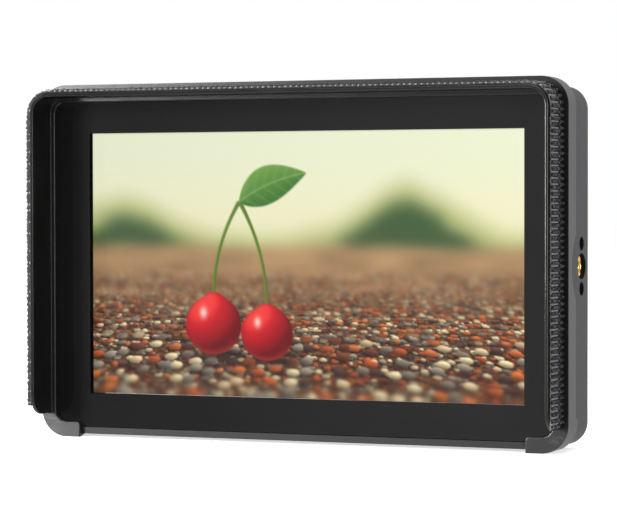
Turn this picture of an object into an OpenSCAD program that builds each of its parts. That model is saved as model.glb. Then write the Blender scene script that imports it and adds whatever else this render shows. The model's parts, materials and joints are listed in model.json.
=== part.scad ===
// Camera field monitor with a clip-on sun-hood frame.
// Millimetres. The front looks along -Y, +X is the viewer's right and +Z is up.
// The origin is the mouth of the tripod socket in the middle of the bottom face.

/* [Body] */
// Width of the monitor body
body_w = 146; // [138:0.5:180]
// Height of the monitor body
body_h = 91.2; // [86:0.2:110]
// Depth of the body, from the front glass to the back face
body_d = 18.4; // [18:0.2:26]
// Radius of the body's corners in the front view
body_r = 6; // [5:0.5:9]
// Thickness of the body's side walls
side_wall = 2; // [1.6:0.1:2.4]
// Thickness of the back wall
back_wall = 1.8; // [1.5:0.1:2.2]
// Depth of the front bezel, from the glass to the seam
bezel_d = 3.2; // [2.8:0.1:4]
// Width of the bezel that shows round the glass
bezel_w = 1.95; // [1.5:0.05:2.6]

/* [Display] */
// Width of the lit picture
screen_w = 121.76; // [110:0.02:124]
// Height of the lit picture
screen_h = 68.49; // [60:0.01:70]
// Thickness of the cover glass
glass_t = 1.8; // [1.2:0.1:2]
// Distance from the front of the glass to the lit picture
picture_depth = 3.3; // [2.9:0.1:3.6]
// Border of the display module round the picture
module_border = 3.1; // [2.6:0.1:3.3]
// Depth of the display module behind its front lip
module_d = 3.9; // [3.4:0.1:4.2]

/* [Sun hood frame] */
// How far the hood wall stands in front of its flange
hood_depth = 10; // [6:0.5:30]
// Thickness of the hood wall
hood_wall = 0.9; // [0.8:0.1:1.4]
// Step from the hood wall out to the flange's edge at the sides
flange_side = 2.05; // [1.6:0.05:2.6]
// Step from the hood wall out to the flange's edge at the top
flange_top = 2.5; // [1.6:0.1:3]
// How far the flange stands outside the body at the sides
over_side = 1.25; // [1.1:0.05:2]
// How far the flange stands outside the body at the top
over_top = 2; // [1.2:0.1:3]
// How far the corner clips reach below the body
over_bottom = 0.85; // [0.7:0.05:1.2]
// Thickness of the lip in front of the glass
lip_t = 1.3; // [1:0.1:2]
// Width of the lip and flange together at the sides
ring_side = 4.1; // [3.8:0.1:5]
// Width of the lip and flange together at the top
ring_top = 4.65; // [4:0.05:5.5]
// Height of the corner clips in the front view
clip_h = 4.1; // [3.6:0.1:5]
// Length of each corner clip along the bottom, from the frame's outer side
clip_len = 11.4; // [9:0.2:20]
// Depth of the skirt, from the flange's front to its rear edge
skirt_d = 6; // [4:0.2:8]
// How much further back the skirt reaches at the bottom corners
heel_d = 1.3; // [0.5:0.1:2]
// Height of that heel above the body's bottom face
heel_h = 7.6; // [6:0.2:12]
// Radius of the frame's outer corners
frame_r = 7.3; // [6.3:0.1:9]
// Height of the hood wall's lower end above the body's bottom face
wall_end = 5.4; // [3.6:0.2:12]
// Radius of the hood wall's lower front corners
wall_end_r = 5; // [2:0.5:6]
// Slack between the frame and the body it clips round
frame_gap = 0.12; // [0.08:0.01:0.14]

/* [Hook tape] */
// Thickness of the tape with its hooks
tape_t = 1.1; // [0.8:0.1:1.4]
// Distance from the hood wall's rim to the tape
tape_setback = 1; // [0.6:0.1:2]
// Height of the tape's left end above the body's bottom face
tape_end_left = 7.8; // [5:0.2:20]
// Height of the tape's right end above the body's bottom face
tape_end_right = 5.6; // [5:0.2:20]

/* [Mounting sockets] */
// Distance from the socket's axis to the body's back face
socket_back = 5.35; // [5.2:0.05:7]
// Radius of the hole in the body over the threaded insert
socket_hole_r = 3.3; // [3.2:0.05:3.4]
// Radius of the insert's bore, at the crests of a quarter-inch thread
thread_r = 2.6; // [2.5:0.05:2.8]
// Thickness of the body's skin in front of the insert
socket_skin = 1.2; // [1:0.1:1.6]
// Distance from the socket's axis to each locating hole
locator_pitch = 5.7; // [5.6:0.05:6.5]
// Radius of the locating holes
locator_r = 1.75; // [1.4:0.05:1.8]
// Depth of the locating holes
locator_d = 2.8; // [2:0.1:3]

/* [Controls and ports] */
// Place of the power button along the top, from the middle
button_x = 50; // [48:1:52]
// Length of the power button
button_len = 10; // [7:0.5:12]
// Width of the power button
button_w = 4.6; // [3.5:0.1:4.8]
// How far the power button stands out of the top
button_proud = 0.6; // [0.55:0.05:1]
// Width of a video socket
video_w = 15; // [14:0.2:16]
// Height of a video socket
video_h = 6; // [5.4:0.1:6.2]

/* [Battery plate] */
// Width of the battery plate
plate_w = 44; // [42:0.5:53]
// Length of the battery plate
plate_len = 66; // [52:0.5:68]
// Thickness of the battery plate's base
plate_t = 2.4; // [2:0.1:3]
// Height of the rails over the base
rail_h = 5; // [4.5:0.1:6]
// Width of the lips that hold the battery's grooves
rail_lip = 1.8; // [1.2:0.1:2.2]
// How far the lock pin and the release button travel
latch_travel = 1.8; // [1.2:0.1:2]

/* [Hidden] */
$fn = 64;

// Colours, as the object shows them
shell_grey = [0.30, 0.30, 0.32];
gloss_black = [0.07, 0.07, 0.08];
board_green = [0.05, 0.25, 0.16];
steel = [0.72, 0.73, 0.75];
brass_gold = [0.80, 0.62, 0.30];

// Depths, from the front to the back
y_back = socket_back;
y_glass = y_back - body_d;
y_glass_back = y_glass + glass_t;
y_seam = y_glass + bezel_d;
y_inside = y_back - back_wall;
adhesive_t = 0.2;
y_shelf = y_glass_back + adhesive_t;
y_panel = y_glass + picture_depth;
module_lip = 0.2;
y_module = y_panel - module_lip;
y_module_back = y_module + module_d;
chassis_t = 0.8;
y_chassis = y_module_back + chassis_t;
standoff_h = 0.9;
board_t = 1.4;
y_board = y_chassis + standoff_h;
y_board_back = y_board + board_t;
y_flange = y_glass - lip_t;
y_rim = y_flange - hood_depth;
y_skirt = y_flange + skirt_d;

// Heights and outlines
z_mid = body_h / 2;
glass_w = body_w - 2 * bezel_w;
glass_h = body_h - 2 * bezel_w;
glass_r = body_r - bezel_w;
glass_gap = 0.15;
module_w = screen_w + 2 * module_border;
module_h = screen_h + 2 * module_border;
module_wall = 0.4;
module_gap = 0.4;
inner_w = body_w - 2 * side_wall;
inner_h = body_h - 2 * side_wall;
frame_w = body_w + 2 * over_side;
frame_top = body_h + over_top;
hood_w = frame_w - 2 * flange_side;
hood_top = frame_top - flange_top;
hood_r = frame_r - flange_side;
lip_r = 3;
clip_x = frame_w / 2 - clip_len;
clip_end_r = 1;
clip_ramp = 3.3;
socket_clear_r = 11.6;
tape_glue = 0.1;

// Screws: shaft, head and the slack round them
screw_r = 1;
head_r = 1.9;
head_h = 1.2;
thread_slack = 0.02;
hole_slack = 0.12;
boss_r = 2.6;
boss_seam = y_seam + 4.3;
counterbore_d = 1.5;
case_spots = [for (sx = [-1, 1], sz = [-1, 1])
    [sx * (inner_w / 2 - 4.2), z_mid + sz * (inner_h / 2 - 3.4)],
    for (sx = [-1, 1], sz = [-1, 1]) [sx * 26, z_mid + sz * (inner_h / 2 - 3)]];
chassis_spots = [[-50, z_mid + inner_h / 2 - 3], [0, z_mid + inner_h / 2 - 3],
    [-50, z_mid - inner_h / 2 + 3], [50, z_mid - inner_h / 2 + 3]];
chassis_gap = 0.3;

// Main board and what it carries
board_left = -body_w / 2 + side_wall + 1.4;
board_right = 46;
board_low = z_mid - inner_h / 2 + 8;
board_high = z_mid + inner_h / 2 - 9.2;
board_spots = [for (x = [board_left + 15, board_right - 14], z = [board_low + 4, board_high - 5]) [x, z]];
standoff_r = 2.2;
port_mouth = -body_w / 2 + 0.6;
port_slack = 0.3;
video_deep = 11.5;
port_wall = 0.5;
video_in_z = z_mid + 24;
video_out_z = z_mid + 4;
usb_z = z_mid - 10;
usb_w = 9;
usb_h = 3.3;
usb_deep = 7.6;
headphone_z = z_mid - 20;
headphone_r = 1.8;
dc_z = z_mid - 31;
dc_r = 2.05;
dc_pin_r = 0.65;
jack_w = 6.4;
jack_h = 5.4;
jack_deep = 12;
jack_bore = 10.5;
jack_y = y_board_back + jack_h / 2;
chip_x = -42;
chip_z = z_mid;
chip_w = 14;
chip_t = 1.4;
pad_t = 1;
pad_w = 16;
spreader_w = 30;
spreader_gap = 0.05;

// Socket inserts
insert_neck_r = 3.7;
insert_neck_len = 2.4;
insert_flange_r = 4.4;
insert_len = 7;
insert_gap = 0.02;
insert_wall = 0.7;
insert_mouth = 0.5;
block_half = 8.6;
block_reach = socket_skin + insert_len;

// Power button, its switch and the light beside it
button_y = -1.5;
button_r = button_w / 2 - 0.05;
button_gap = 0.2;
button_flange = 0.9;
button_flange_t = 0.7;
button_bottom = body_h - side_wall - button_flange_t - 0.1;
key_top = body_h - side_wall - 4.2;
key_t = 1;
key_left = button_x - 16;
key_right = button_x + 9;
key_front = y_board_back - 1.6;
switch_w = 5;
switch_h = 1.8;
plunger_r = 1.2;
plunger_gap = 0.1;
plunger_deep = 0.4;
button_travel = 0.5;
light_x = button_x - 12;
light_r = 0.8;
ledge_h = 1.2;

// Battery plate, contacts and latch
plate_low = z_mid - plate_len / 2;
plate_high = plate_low + plate_len;
y_plate = y_back + plate_t;
rail_w = 2.2;
rail_foot = 2;
rail_head = 17;
lip_h = 1.4;
tab_len = 12;
plate_spots = [for (sx = [-1, 1], sz = [-1, 1]) [sx * (plate_w / 2 - 5), z_mid + sz * (plate_len / 2 - 8)]];
plate_boss_d = 4;
contact_w = 20;
contact_h = 7;
contact_proud = 6.2;
blade_w = 1;
blade_t = 1.2;
blade_reach = 5;
blade_pitch = 6;
blade_gap = 0.1;
block_gap = 0.1;
y_blade = y_plate + 3.6;
pin_r = 2;
pin_gap = 0.05;
pin_z = plate_high - 9;
pin_proud = latch_travel - 0.1;
pin_block = 8;
pin_block_t = 2;
latch_gap = 0.15;
y_pin_block = y_back - latch_gap;
pocket_half = 5.2;
pocket_floor = y_board_back + 1.7;
pocket_wall = 1;
pocket_low = pin_z - pin_block / 2 - 0.4;
pocket_high = plate_high + 6;
peg_r = 1;
peg_len = 1.6;
spring_r = 2.3;
spring_wire = 0.5;
spring_turns = 3;
ramp_gap = 0.14;
pad_low = plate_high + latch_travel + 0.2;
button_pad_h = 6;
button_pad_w = 14;
button_pad_t = 2.8;
pad_rest = 0.1;

// A rectangle with round corners, centred
module rounded(w, h, r) {
    square([w - 2 * r, h], center = true);
    square([w, h - 2 * r], center = true);
    for (sx = [-1, 1], sy = [-1, 1]) translate([sx * (w / 2 - r), sy * (h / 2 - r)]) circle(r = r);
}

// Stands a front-view outline up, from depth y0 back to y1
module upright(y0, y1) {
    translate([0, y1, 0]) rotate([90, 0, 0]) linear_extrude(y1 - y0) children();
}

// A slab with round corners round the middle of the body
module slab(w, h, r, y0, y1) {
    upright(y0, y1) translate([0, z_mid]) rounded(w, h, r);
}

// A box between two corners
module block(low, high) {
    translate(low) cube(high - low);
}

// A rod along Y from y0 to y1, at a place in the front view
module rod_y(spot, r, y0, y1) {
    translate([spot[0], y1, spot[1]]) rotate([90, 0, 0]) cylinder(r = r, h = y1 - y0);
}

// A rod along X from x0 to x1
module rod_x(y, z, r, x0, x1) {
    translate([x0, y, z]) rotate([0, 90, 0]) cylinder(r = r, h = x1 - x0);
}

// A pan-head screw whose head sits on y_head and whose shaft runs forward
module screw_y(spot, y_head, len) {
    rod_y(spot, screw_r, y_head - len, y_head);
    rod_y(spot, head_r, y_head, y_head + head_h);
}

// Turns what is drawn pointing into the body along -X so that it enters from the bottom
module from_bottom() {
    rotate([0, 90, 0]) children();
}

// Everything cut for one socket, drawn along X with its mouth at x = 0
module socket_cut() {
    rod_x(0, 0, socket_hole_r, -block_reach - 2, 1);
    rod_x(0, 0, insert_neck_r + insert_gap, -block_reach - 2, -socket_skin);
    rod_x(0, 0, insert_flange_r + insert_gap, -block_reach - 2, -socket_skin - insert_neck_len);
    for (s = [-1, 1]) translate([0, 0, s * locator_pitch]) rod_x(0, 0, locator_r, -locator_d, 1);
}

// The boss round one socket, drawn like the cut
module socket_boss() {
    block([-block_reach, -insert_flange_r - insert_wall, -block_half], [-side_wall / 2, y_back, block_half]);
}

// One threaded insert, drawn like the cut
module insert_body() {
    difference() {
        union() {
            rod_x(0, 0, insert_neck_r, -socket_skin - insert_len, -socket_skin);
            rod_x(0, 0, insert_flange_r, -socket_skin - insert_len, -socket_skin - insert_neck_len);
        }
        rod_x(0, 0, thread_r, -socket_skin - insert_len - 1, 1);
        translate([-socket_skin - insert_mouth, 0, 0]) rotate([0, 90, 0])
            cylinder(r1 = thread_r, r2 = thread_r + 2 * insert_mouth, h = 2 * insert_mouth);
    }
}

// The opening in the left wall for a port, from its outline's size
module port_window(z, w, y0, y1) {
    block([-body_w / 2 - 1, y0 - port_slack, z - w / 2 - port_slack],
        [-body_w / 2 + side_wall + 1, y1 + port_slack, z + w / 2 + port_slack]);
}

module vent_slot() {
    square([22.4, 1.6], center = true);
    for (s = [-1, 1]) translate([s * 11.2, 0]) circle(r = 0.8, $fn = 16);
}

module rear_shell() {
    $fn = 40;
    color(shell_grey) difference() {
        union() {
            difference() {
                slab(body_w, body_h, body_r, y_seam, y_back);
                slab(inner_w, inner_h, body_r - side_wall, y_seam - 1, y_inside);
            }
            for (spot = case_spots) rod_y(spot, boss_r, boss_seam, y_inside + 0.5);
            for (spot = plate_spots) rod_y(spot, boss_r - 0.2, y_inside - plate_boss_d, y_inside + 0.5);
            translate([body_w / 2, 0, z_mid]) socket_boss();
            from_bottom() socket_boss();
            block([-pocket_half - pocket_wall, pocket_floor - pocket_wall, pocket_low - pocket_wall],
                [pocket_half + pocket_wall, y_inside + 0.5, pocket_high + pocket_wall]);
            for (x = [key_left + 2, key_right - 6])
                block([x, key_front + 3, key_top - key_t - ledge_h], [x + 3, y_inside + 0.5, key_top - key_t]);
        }
        for (spot = case_spots) {
            rod_y(spot, screw_r + hole_slack, boss_seam - 1, y_back + 1);
            rod_y(spot, head_r + 2 * hole_slack, y_back - counterbore_d, y_back + 1);
        }
        for (spot = plate_spots) rod_y(spot, screw_r + thread_slack, y_inside - plate_boss_d + 0.6, y_back + 1);
        translate([body_w / 2, 0, z_mid]) socket_cut();
        from_bottom() socket_cut();
        block([-pocket_half, pocket_floor, pocket_low], [pocket_half, y_back + 1, pocket_high]);
        for (i = [-1:1]) block([i * blade_pitch - blade_w, y_inside - 1, plate_low + 1],
            [i * blade_pitch + blade_w, y_back + 1, plate_low + 5]);
        translate([button_x, button_y, body_h - side_wall - 1]) linear_extrude(side_wall + 2)
            rounded(button_len + 2 * button_gap, button_w + 2 * button_gap, button_r + button_gap);
        translate([light_x, button_y, body_h - side_wall - 1]) cylinder(r = light_r + 0.1, h = side_wall + 2);
        port_window(video_in_z, video_w, y_board_back, y_board_back + video_h);
        port_window(video_out_z, video_w, y_board_back, y_board_back + video_h);
        port_window(usb_z, usb_w, y_board_back, y_board_back + usb_h);
        for (z = [headphone_z, dc_z]) rod_x(jack_y, z, jack_h / 2 + port_slack, -body_w / 2 - 1, -inner_w / 2 + 1);
        for (sx = [-1, 1], i = [0:5]) upright(y_inside - 1, y_back + 1)
            translate([sx * 46, z_mid - 10 + 4 * i]) vent_slot();
    }
}

module front_bezel() {
    color(shell_grey) difference() {
        union() {
            difference() {
                slab(body_w, body_h, body_r, y_glass, y_seam);
                slab(glass_w + 2 * glass_gap, glass_h + 2 * glass_gap, glass_r + glass_gap, y_glass - 1, y_shelf);
                slab(module_w + 2 * module_gap, module_h + 2 * module_gap, 1, y_glass - 1, y_seam + 1);
            }
            for (spot = case_spots) rod_y(spot, boss_r, y_shelf + 0.4, boss_seam);
            for (spot = chassis_spots) rod_y(spot, boss_r - 0.2, y_shelf + 0.4, y_module_back);
        }
        for (spot = case_spots) rod_y(spot, screw_r + thread_slack, y_shelf + 1, boss_seam + 1);
        for (spot = chassis_spots) rod_y(spot, screw_r + thread_slack, y_shelf + 1, y_module_back + 1);
    }
}

module cover_glass() {
    color([0.02, 0.02, 0.025]) slab(glass_w, glass_h, glass_r, y_glass, y_glass_back);
}

module glass_adhesive() {
    color([0.15, 0.15, 0.15]) difference() {
        slab(glass_w - 0.6, glass_h - 0.6, glass_r - 0.3, y_glass_back, y_shelf);
        slab(module_w + 2, module_h + 2, 1, y_glass_back - 1, y_shelf + 1);
    }
}

module dust_gasket() {
    color([0.08, 0.08, 0.08]) difference() {
        slab(module_w, module_h, 1, y_glass_back, y_module);
        slab(screen_w + 2, screen_h + 2, 0.5, y_glass_back - 1, y_module + 1);
    }
}

module lcd_frame() {
    color(steel) difference() {
        slab(module_w, module_h, 1, y_module, y_module_back);
        slab(screen_w + 1, screen_h + 1, 0.5, y_module - 1, y_panel + 1);
        slab(module_w - 2 * module_wall, module_h - 2 * module_wall, 0.6, y_panel, y_module_back + 1);
        block([flex_left - 0.5, y_flex - 0.1, z_mid - module_h / 2 - 1],
            [flex_right + 0.5, y_flex + flex_t + 0.1, z_mid - module_h / 2 + 2]);
    }
}

panel_w = module_w - 2 * module_wall - 0.1;
panel_h = module_h - 2 * module_wall - 0.1;
panel_t = 1.2;
guide_t = 1.4;
tray_wall = 0.5;
led_w = 1.4;
y_guide = y_panel + panel_t;

module lcd_panel() {
    color([0.25, 0.28, 0.32]) slab(panel_w, panel_h, 0.5, y_panel, y_guide);
}

module backlight_tray() {
    color("white") difference() {
        slab(panel_w, panel_h, 0.5, y_guide, y_module_back);
        slab(panel_w - 2 * tray_wall, panel_h - 2 * tray_wall, 0.3, y_guide - 1, y_guide + guide_t);
    }
}

module light_guide() {
    color([0.85, 0.9, 0.95]) block(
        [-panel_w / 2 + tray_wall + led_w + 0.1, y_guide, z_mid - panel_h / 2 + tray_wall + 0.1],
        [panel_w / 2 - tray_wall - 0.1, y_guide + guide_t, z_mid + panel_h / 2 - tray_wall - 0.1]);
}

module led_bar() {
    color("khaki") block([-panel_w / 2 + tray_wall, y_guide, z_mid - panel_h / 2 + tray_wall + 1],
        [-panel_w / 2 + tray_wall + led_w, y_guide + guide_t, z_mid + panel_h / 2 - tray_wall - 1]);
}

module chassis_plate() {
    tab_low = module_h / 2 - 3;
    tab_high = inner_h / 2 - 3 + boss_r;
    color([0.62, 0.63, 0.65]) difference() {
        union() {
            slab(module_w - 1, module_h - 1.6, 1.5, y_module_back, y_chassis);
            for (spot = chassis_spots) {
                side = spot[1] > z_mid ? 1 : -1;
                upright(y_module_back, y_chassis)
                    translate([spot[0], z_mid + side * (tab_high + tab_low) / 2])
                    rounded(2 * boss_r, tab_high - tab_low, 1);
            }
            for (spot = board_spots) rod_y(spot, standoff_r, y_chassis - 0.4, y_board);
        }
        for (spot = chassis_spots) rod_y(spot, screw_r + hole_slack, y_module_back - 1, y_chassis + 1);
        for (spot = board_spots) rod_y(spot, screw_r + thread_slack, y_module_back - 1, y_board + 1);
    }
}

module chassis_screws() {
    color(steel) for (spot = chassis_spots) screw_y(spot, y_chassis, y_chassis - y_shelf - 1.4);
}

module main_board() {
    color(board_green) difference() {
        upright(y_board, y_board_back)
            translate([(board_left + board_right) / 2, (board_low + board_high) / 2])
            rounded(board_right - board_left, board_high - board_low, 1.5);
        for (spot = board_spots) rod_y(spot, screw_r + hole_slack, y_board - 1, y_board_back + 1);
    }
}

module board_screws() {
    color(steel) for (spot = board_spots)
        screw_y(spot, y_board_back, board_t + standoff_h + chassis_t - 0.2);
}

// A chip that sits on the back of the main board
module chip(x, z, w, h, t) {
    block([x - w / 2, y_board_back, z - h / 2], [x + w / 2, y_board_back + t, z + h / 2]);
}

module processor_chips() {
    color([0.1, 0.1, 0.1]) {
        chip(chip_x, chip_z, chip_w, chip_w, chip_t);
        for (s = [-1, 1]) chip(chip_x + 18, chip_z + s * 7, 8, 11, 1);
        for (i = [0:2]) chip(32, z_mid - 18 + 9 * i, 6, 6, 2.4);
        for (i = [0:3]) chip(-20 + 6 * i, board_low + 6, 3, 4, 1.6);
    }
}

module thermal_pad() {
    color([0.55, 0.62, 0.70]) block(
        [chip_x - pad_w / 2, y_board_back + chip_t, chip_z - pad_w / 2],
        [chip_x + pad_w / 2, y_board_back + chip_t + pad_t, chip_z + pad_w / 2]);
}

module heat_spreader() {
    y0 = y_board_back + chip_t + pad_t;
    fins = 6;
    pitch = spreader_w / fins;
    color([0.7, 0.71, 0.73]) difference() {
        block([chip_x - spreader_w / 2, y0, chip_z - spreader_w / 2],
            [chip_x + spreader_w / 2, y_inside - spreader_gap, chip_z + spreader_w / 2]);
        for (i = [0:fins - 2]) block(
            [chip_x - spreader_w / 2 + pitch * (i + 1) - 0.8, y0 + 1.2, chip_z - spreader_w],
            [chip_x - spreader_w / 2 + pitch * (i + 1) + 0.8, y_inside + 1, chip_z + spreader_w]);
    }
}

// The flat cable from the display module, round the chassis plate's lower edge to the board
flex_left = 11;
flex_right = 21;
flex_t = 0.2;
y_flex = y_panel + 0.6;
flex_low = board_low - 3.5;
flex_socket_t = 1.2;
flex_drop = z_mid - panel_h / 2;
flex_gap = 0.25;

module display_flex() {
    y1 = y_board_back + flex_gap;
    color([0.75, 0.5, 0.15]) {
        block([flex_left, y_flex, flex_low], [flex_right, y_flex + flex_t, flex_drop]);
        block([flex_left, y_flex, flex_low], [flex_right, y1 + flex_t, flex_low + flex_t]);
        block([flex_left, y1, flex_low], [flex_right, y1 + flex_t, board_low + 4]);
    }
}

module key_flex() {
    y1 = y_board_back + flex_gap;
    z1 = key_top - key_t;
    color([0.75, 0.5, 0.15]) {
        block([key_left + 6, y1, board_high - 6], [key_left + 12, y1 + flex_t, z1]);
        block([key_left + 6, y1, z1 - flex_t], [key_left + 12, y1 + 3, z1]);
    }
}

module flex_sockets() {
    color([0.85, 0.82, 0.72]) {
        difference() {
            block([flex_left - 1.5, y_board_back, board_low + 0.6],
                [flex_right + 1.5, y_board_back + flex_socket_t, board_low + 4.6]);
            block([flex_left - 0.1, y_board_back + flex_gap - 0.05, board_low],
                [flex_right + 0.1, y_board_back + flex_gap + flex_t + 0.05, board_low + 4]);
        }
        difference() {
            block([key_left + 4.5, y_board_back, board_high - 7],
                [key_left + 13.5, y_board_back + flex_socket_t, board_high - 3]);
            block([key_left + 5.9, y_board_back + flex_gap - 0.05, board_high - 6],
                [key_left + 12.1, y_board_back + flex_gap + flex_t + 0.05, board_high]);
        }
    }
}

// A video socket's outline in the side view: flat on the board, with two slanted corners
module video_outline(inset) {
    w = video_w / 2 - inset;
    h0 = inset;
    h1 = video_h - inset;
    slant = 1.6;
    polygon([[h0, -w], [h1 - slant, -w], [h1, -w + slant], [h1, w - slant], [h1 - slant, w], [h0, w]]);
}

// Lays a side-view outline (depth, height) down along X
module along_x(x0, x1) {
    translate([x0, 0, 0]) rotate([90, 0, 90]) linear_extrude(x1 - x0) children();
}

module video_port(z) {
    color(steel) translate([0, y_board_back, z]) difference() {
        along_x(port_mouth, port_mouth + video_deep) video_outline(0);
        along_x(port_mouth - 1, port_mouth + video_deep - 2) video_outline(port_wall);
    }
}

module usb_port() {
    r = usb_h / 2;
    color(steel) translate([0, y_board_back + r, usb_z]) difference() {
        along_x(port_mouth, port_mouth + usb_deep) rounded(usb_h, usb_w, r - 0.05);
        along_x(port_mouth - 1, port_mouth + usb_deep - 1)
            rounded(usb_h - 0.8, usb_w - 0.8, r - 0.45);
    }
}

// A round jack: a moulded body on the board with a round nose in the wall's hole
module round_jack(z, bore_r) {
    color(gloss_black) difference() {
        union() {
            block([-inner_w / 2 + 0.5, y_board_back, z - jack_w / 2],
                [port_mouth + jack_deep, y_board_back + jack_h, z + jack_w / 2]);
            rod_x(jack_y, z, jack_h / 2, port_mouth, -inner_w / 2 + 1);
        }
        rod_x(jack_y, z, bore_r, port_mouth - 1, port_mouth + jack_bore);
    }
}

module dc_jack() {
    round_jack(dc_z, dc_r);
    color(steel) rod_x(jack_y, dc_z, dc_pin_r, port_mouth + 1.5, port_mouth + jack_bore + 0.5);
}

module key_board() {
    color(board_green) block([key_left, key_front, key_top - key_t], [key_right, y_inside, key_top]);
}

module power_switch() {
    color([0.1, 0.1, 0.1]) difference() {
        block([button_x - switch_w / 2, button_y - switch_w / 2, key_top],
            [button_x + switch_w / 2, button_y + switch_w / 2, key_top + switch_h]);
        translate([button_x, button_y, key_top + 0.6]) cylinder(r = plunger_r + 0.1, h = switch_h);
    }
}

module switch_plunger() {
    low = key_top + switch_h - plunger_deep;
    color([0.85, 0.85, 0.8]) translate([button_x, button_y, low])
        cylinder(r = plunger_r, h = button_bottom - plunger_gap - low);
}

module power_button() {
    color(gloss_black) {
        translate([button_x, button_y, button_bottom]) linear_extrude(body_h + button_proud - button_bottom)
            rounded(button_len, button_w, button_r);
        translate([button_x, button_y, button_bottom]) linear_extrude(button_flange_t)
            rounded(button_len + 2 * button_flange, button_w + 2 * button_flange, 1);
    }
}

module status_light_pipe() {
    low = key_top + 0.1;
    color([0.9, 0.95, 1, 0.6]) translate([light_x, button_y, low]) {
        cylinder(r = light_r, h = body_h + 0.05 - low);
        cylinder(r = light_r + 0.6, h = body_h - side_wall - 0.1 - low);
    }
}

module side_insert() {
    color(brass_gold) translate([body_w / 2, 0, z_mid]) insert_body();
}

module bottom_insert() {
    color(brass_gold) from_bottom() insert_body();
}

module case_screws() {
    color([0.12, 0.12, 0.13]) for (spot = case_spots)
        screw_y(spot, y_back - counterbore_d, y_back - counterbore_d - y_shelf - 1.6);
}

module battery_plate() {
    color(gloss_black) difference() {
        union() {
            upright(y_back, y_plate) translate([0, (plate_low + plate_high) / 2])
                rounded(plate_w, plate_len, 2);
            for (sx = [-1, 1]) {
                low = plate_low + rail_foot;
                high = plate_high - rail_head;
                x = sx * (plate_w / 2 - rail_w / 2);
                block([x - rail_w / 2, y_plate - 0.5, low], [x + rail_w / 2, y_plate + rail_h, high]);
                for (z = [low, high - tab_len])
                    block([x - rail_w / 2 - (sx > 0 ? rail_lip : 0), y_plate + rail_h - lip_h, z],
                        [x + rail_w / 2 + (sx < 0 ? rail_lip : 0), y_plate + rail_h, z + tab_len]);
            }
        }
        for (spot = plate_spots) {
            rod_y(spot, screw_r + hole_slack, y_back - 1, y_plate + 1);
            rod_y(spot, head_r + 2 * hole_slack, y_plate - head_h - 0.1, y_plate + 1);
        }
        rod_y([0, pin_z], pin_r + pin_gap, y_back - 1, y_plate + 1);
        block([-contact_w / 2 - block_gap, y_back - 1, plate_low - 1],
            [contact_w / 2 + block_gap, y_plate + 1, plate_low + contact_h + block_gap]);
    }
}

module plate_screws() {
    color(steel) for (spot = plate_spots)
        screw_y(spot, y_plate - head_h - 0.1, y_plate - head_h - 0.1 - y_inside + plate_boss_d - 0.8);
}

module contact_block() {
    color(gloss_black) difference() {
        block([-contact_w / 2, y_back, plate_low], [contact_w / 2, y_plate + contact_proud, plate_low + contact_h]);
        for (i = [-1:1]) {
            block([i * blade_pitch - blade_w / 2 - blade_gap, y_back - 1, plate_low + 2 - blade_gap],
                [i * blade_pitch + blade_w / 2 + blade_gap, y_blade + blade_t + blade_gap,
                    plate_low + 2 + blade_t + blade_gap]);
            block([i * blade_pitch - blade_w / 2 - blade_gap, y_blade - blade_gap, plate_low + 2 - blade_gap],
                [i * blade_pitch + blade_w / 2 + blade_gap, y_blade + blade_t + blade_gap,
                    plate_low + contact_h + 1]);
        }
    }
}

module battery_contacts() {
    color(brass_gold) for (i = [-1:1]) {
        x0 = i * blade_pitch - blade_w / 2;
        block([x0, y_board_back, plate_low + 2], [x0 + blade_w, y_blade + blade_t, plate_low + 2 + blade_t]);
        block([x0, y_blade, plate_low + 2], [x0 + blade_w, y_blade + blade_t, plate_low + contact_h + blade_reach]);
    }
}

// The lock pin's block carries a ramp at 45 degrees, which the release button's tongue pushes
module lock_pin() {
    z0 = pin_z - pin_block / 2;
    z1 = pin_z + pin_block / 2;
    y0 = y_pin_block - pin_block_t;
    color(steel) {
        rod_y([0, pin_z], pin_r, y_pin_block - 0.5, y_plate + pin_proud);
        rod_y([0, pin_z], peg_r, y0 - peg_len, y0 + 0.5);
        along_x(-pin_block / 2, pin_block / 2)
            polygon([[y0, z0], [y_pin_block, z0], [y_pin_block, z1], [y0, z1 + pin_block_t]]);
    }
}

module release_button() {
    z1 = pin_z + pin_block / 2 + ramp_gap;
    y0 = y_pin_block - pin_block_t;
    z2 = pocket_high - 1.2;
    low = y_back + pad_rest;
    color(gloss_black) {
        along_x(-pin_block / 2, pin_block / 2)
            polygon([[y0, z1 + pin_block_t], [y_pin_block, z1], [y_pin_block, z2], [y0, z2]]);
        block([-pin_block / 2, y_pin_block - 0.5, pad_low], [pin_block / 2, low + 0.5, z2]);
        difference() {
            upright(low, low + button_pad_t) translate([0, pad_low + button_pad_h / 2])
                rounded(button_pad_w, button_pad_h, 1.2);
            for (i = [-1:1]) block([-button_pad_w, low + button_pad_t - 0.4, pad_low + button_pad_h / 2 + 1.6 * i - 0.3],
                [button_pad_w, low + button_pad_t + 1, pad_low + button_pad_h / 2 + 1.6 * i + 0.3]);
        }
    }
}

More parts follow.
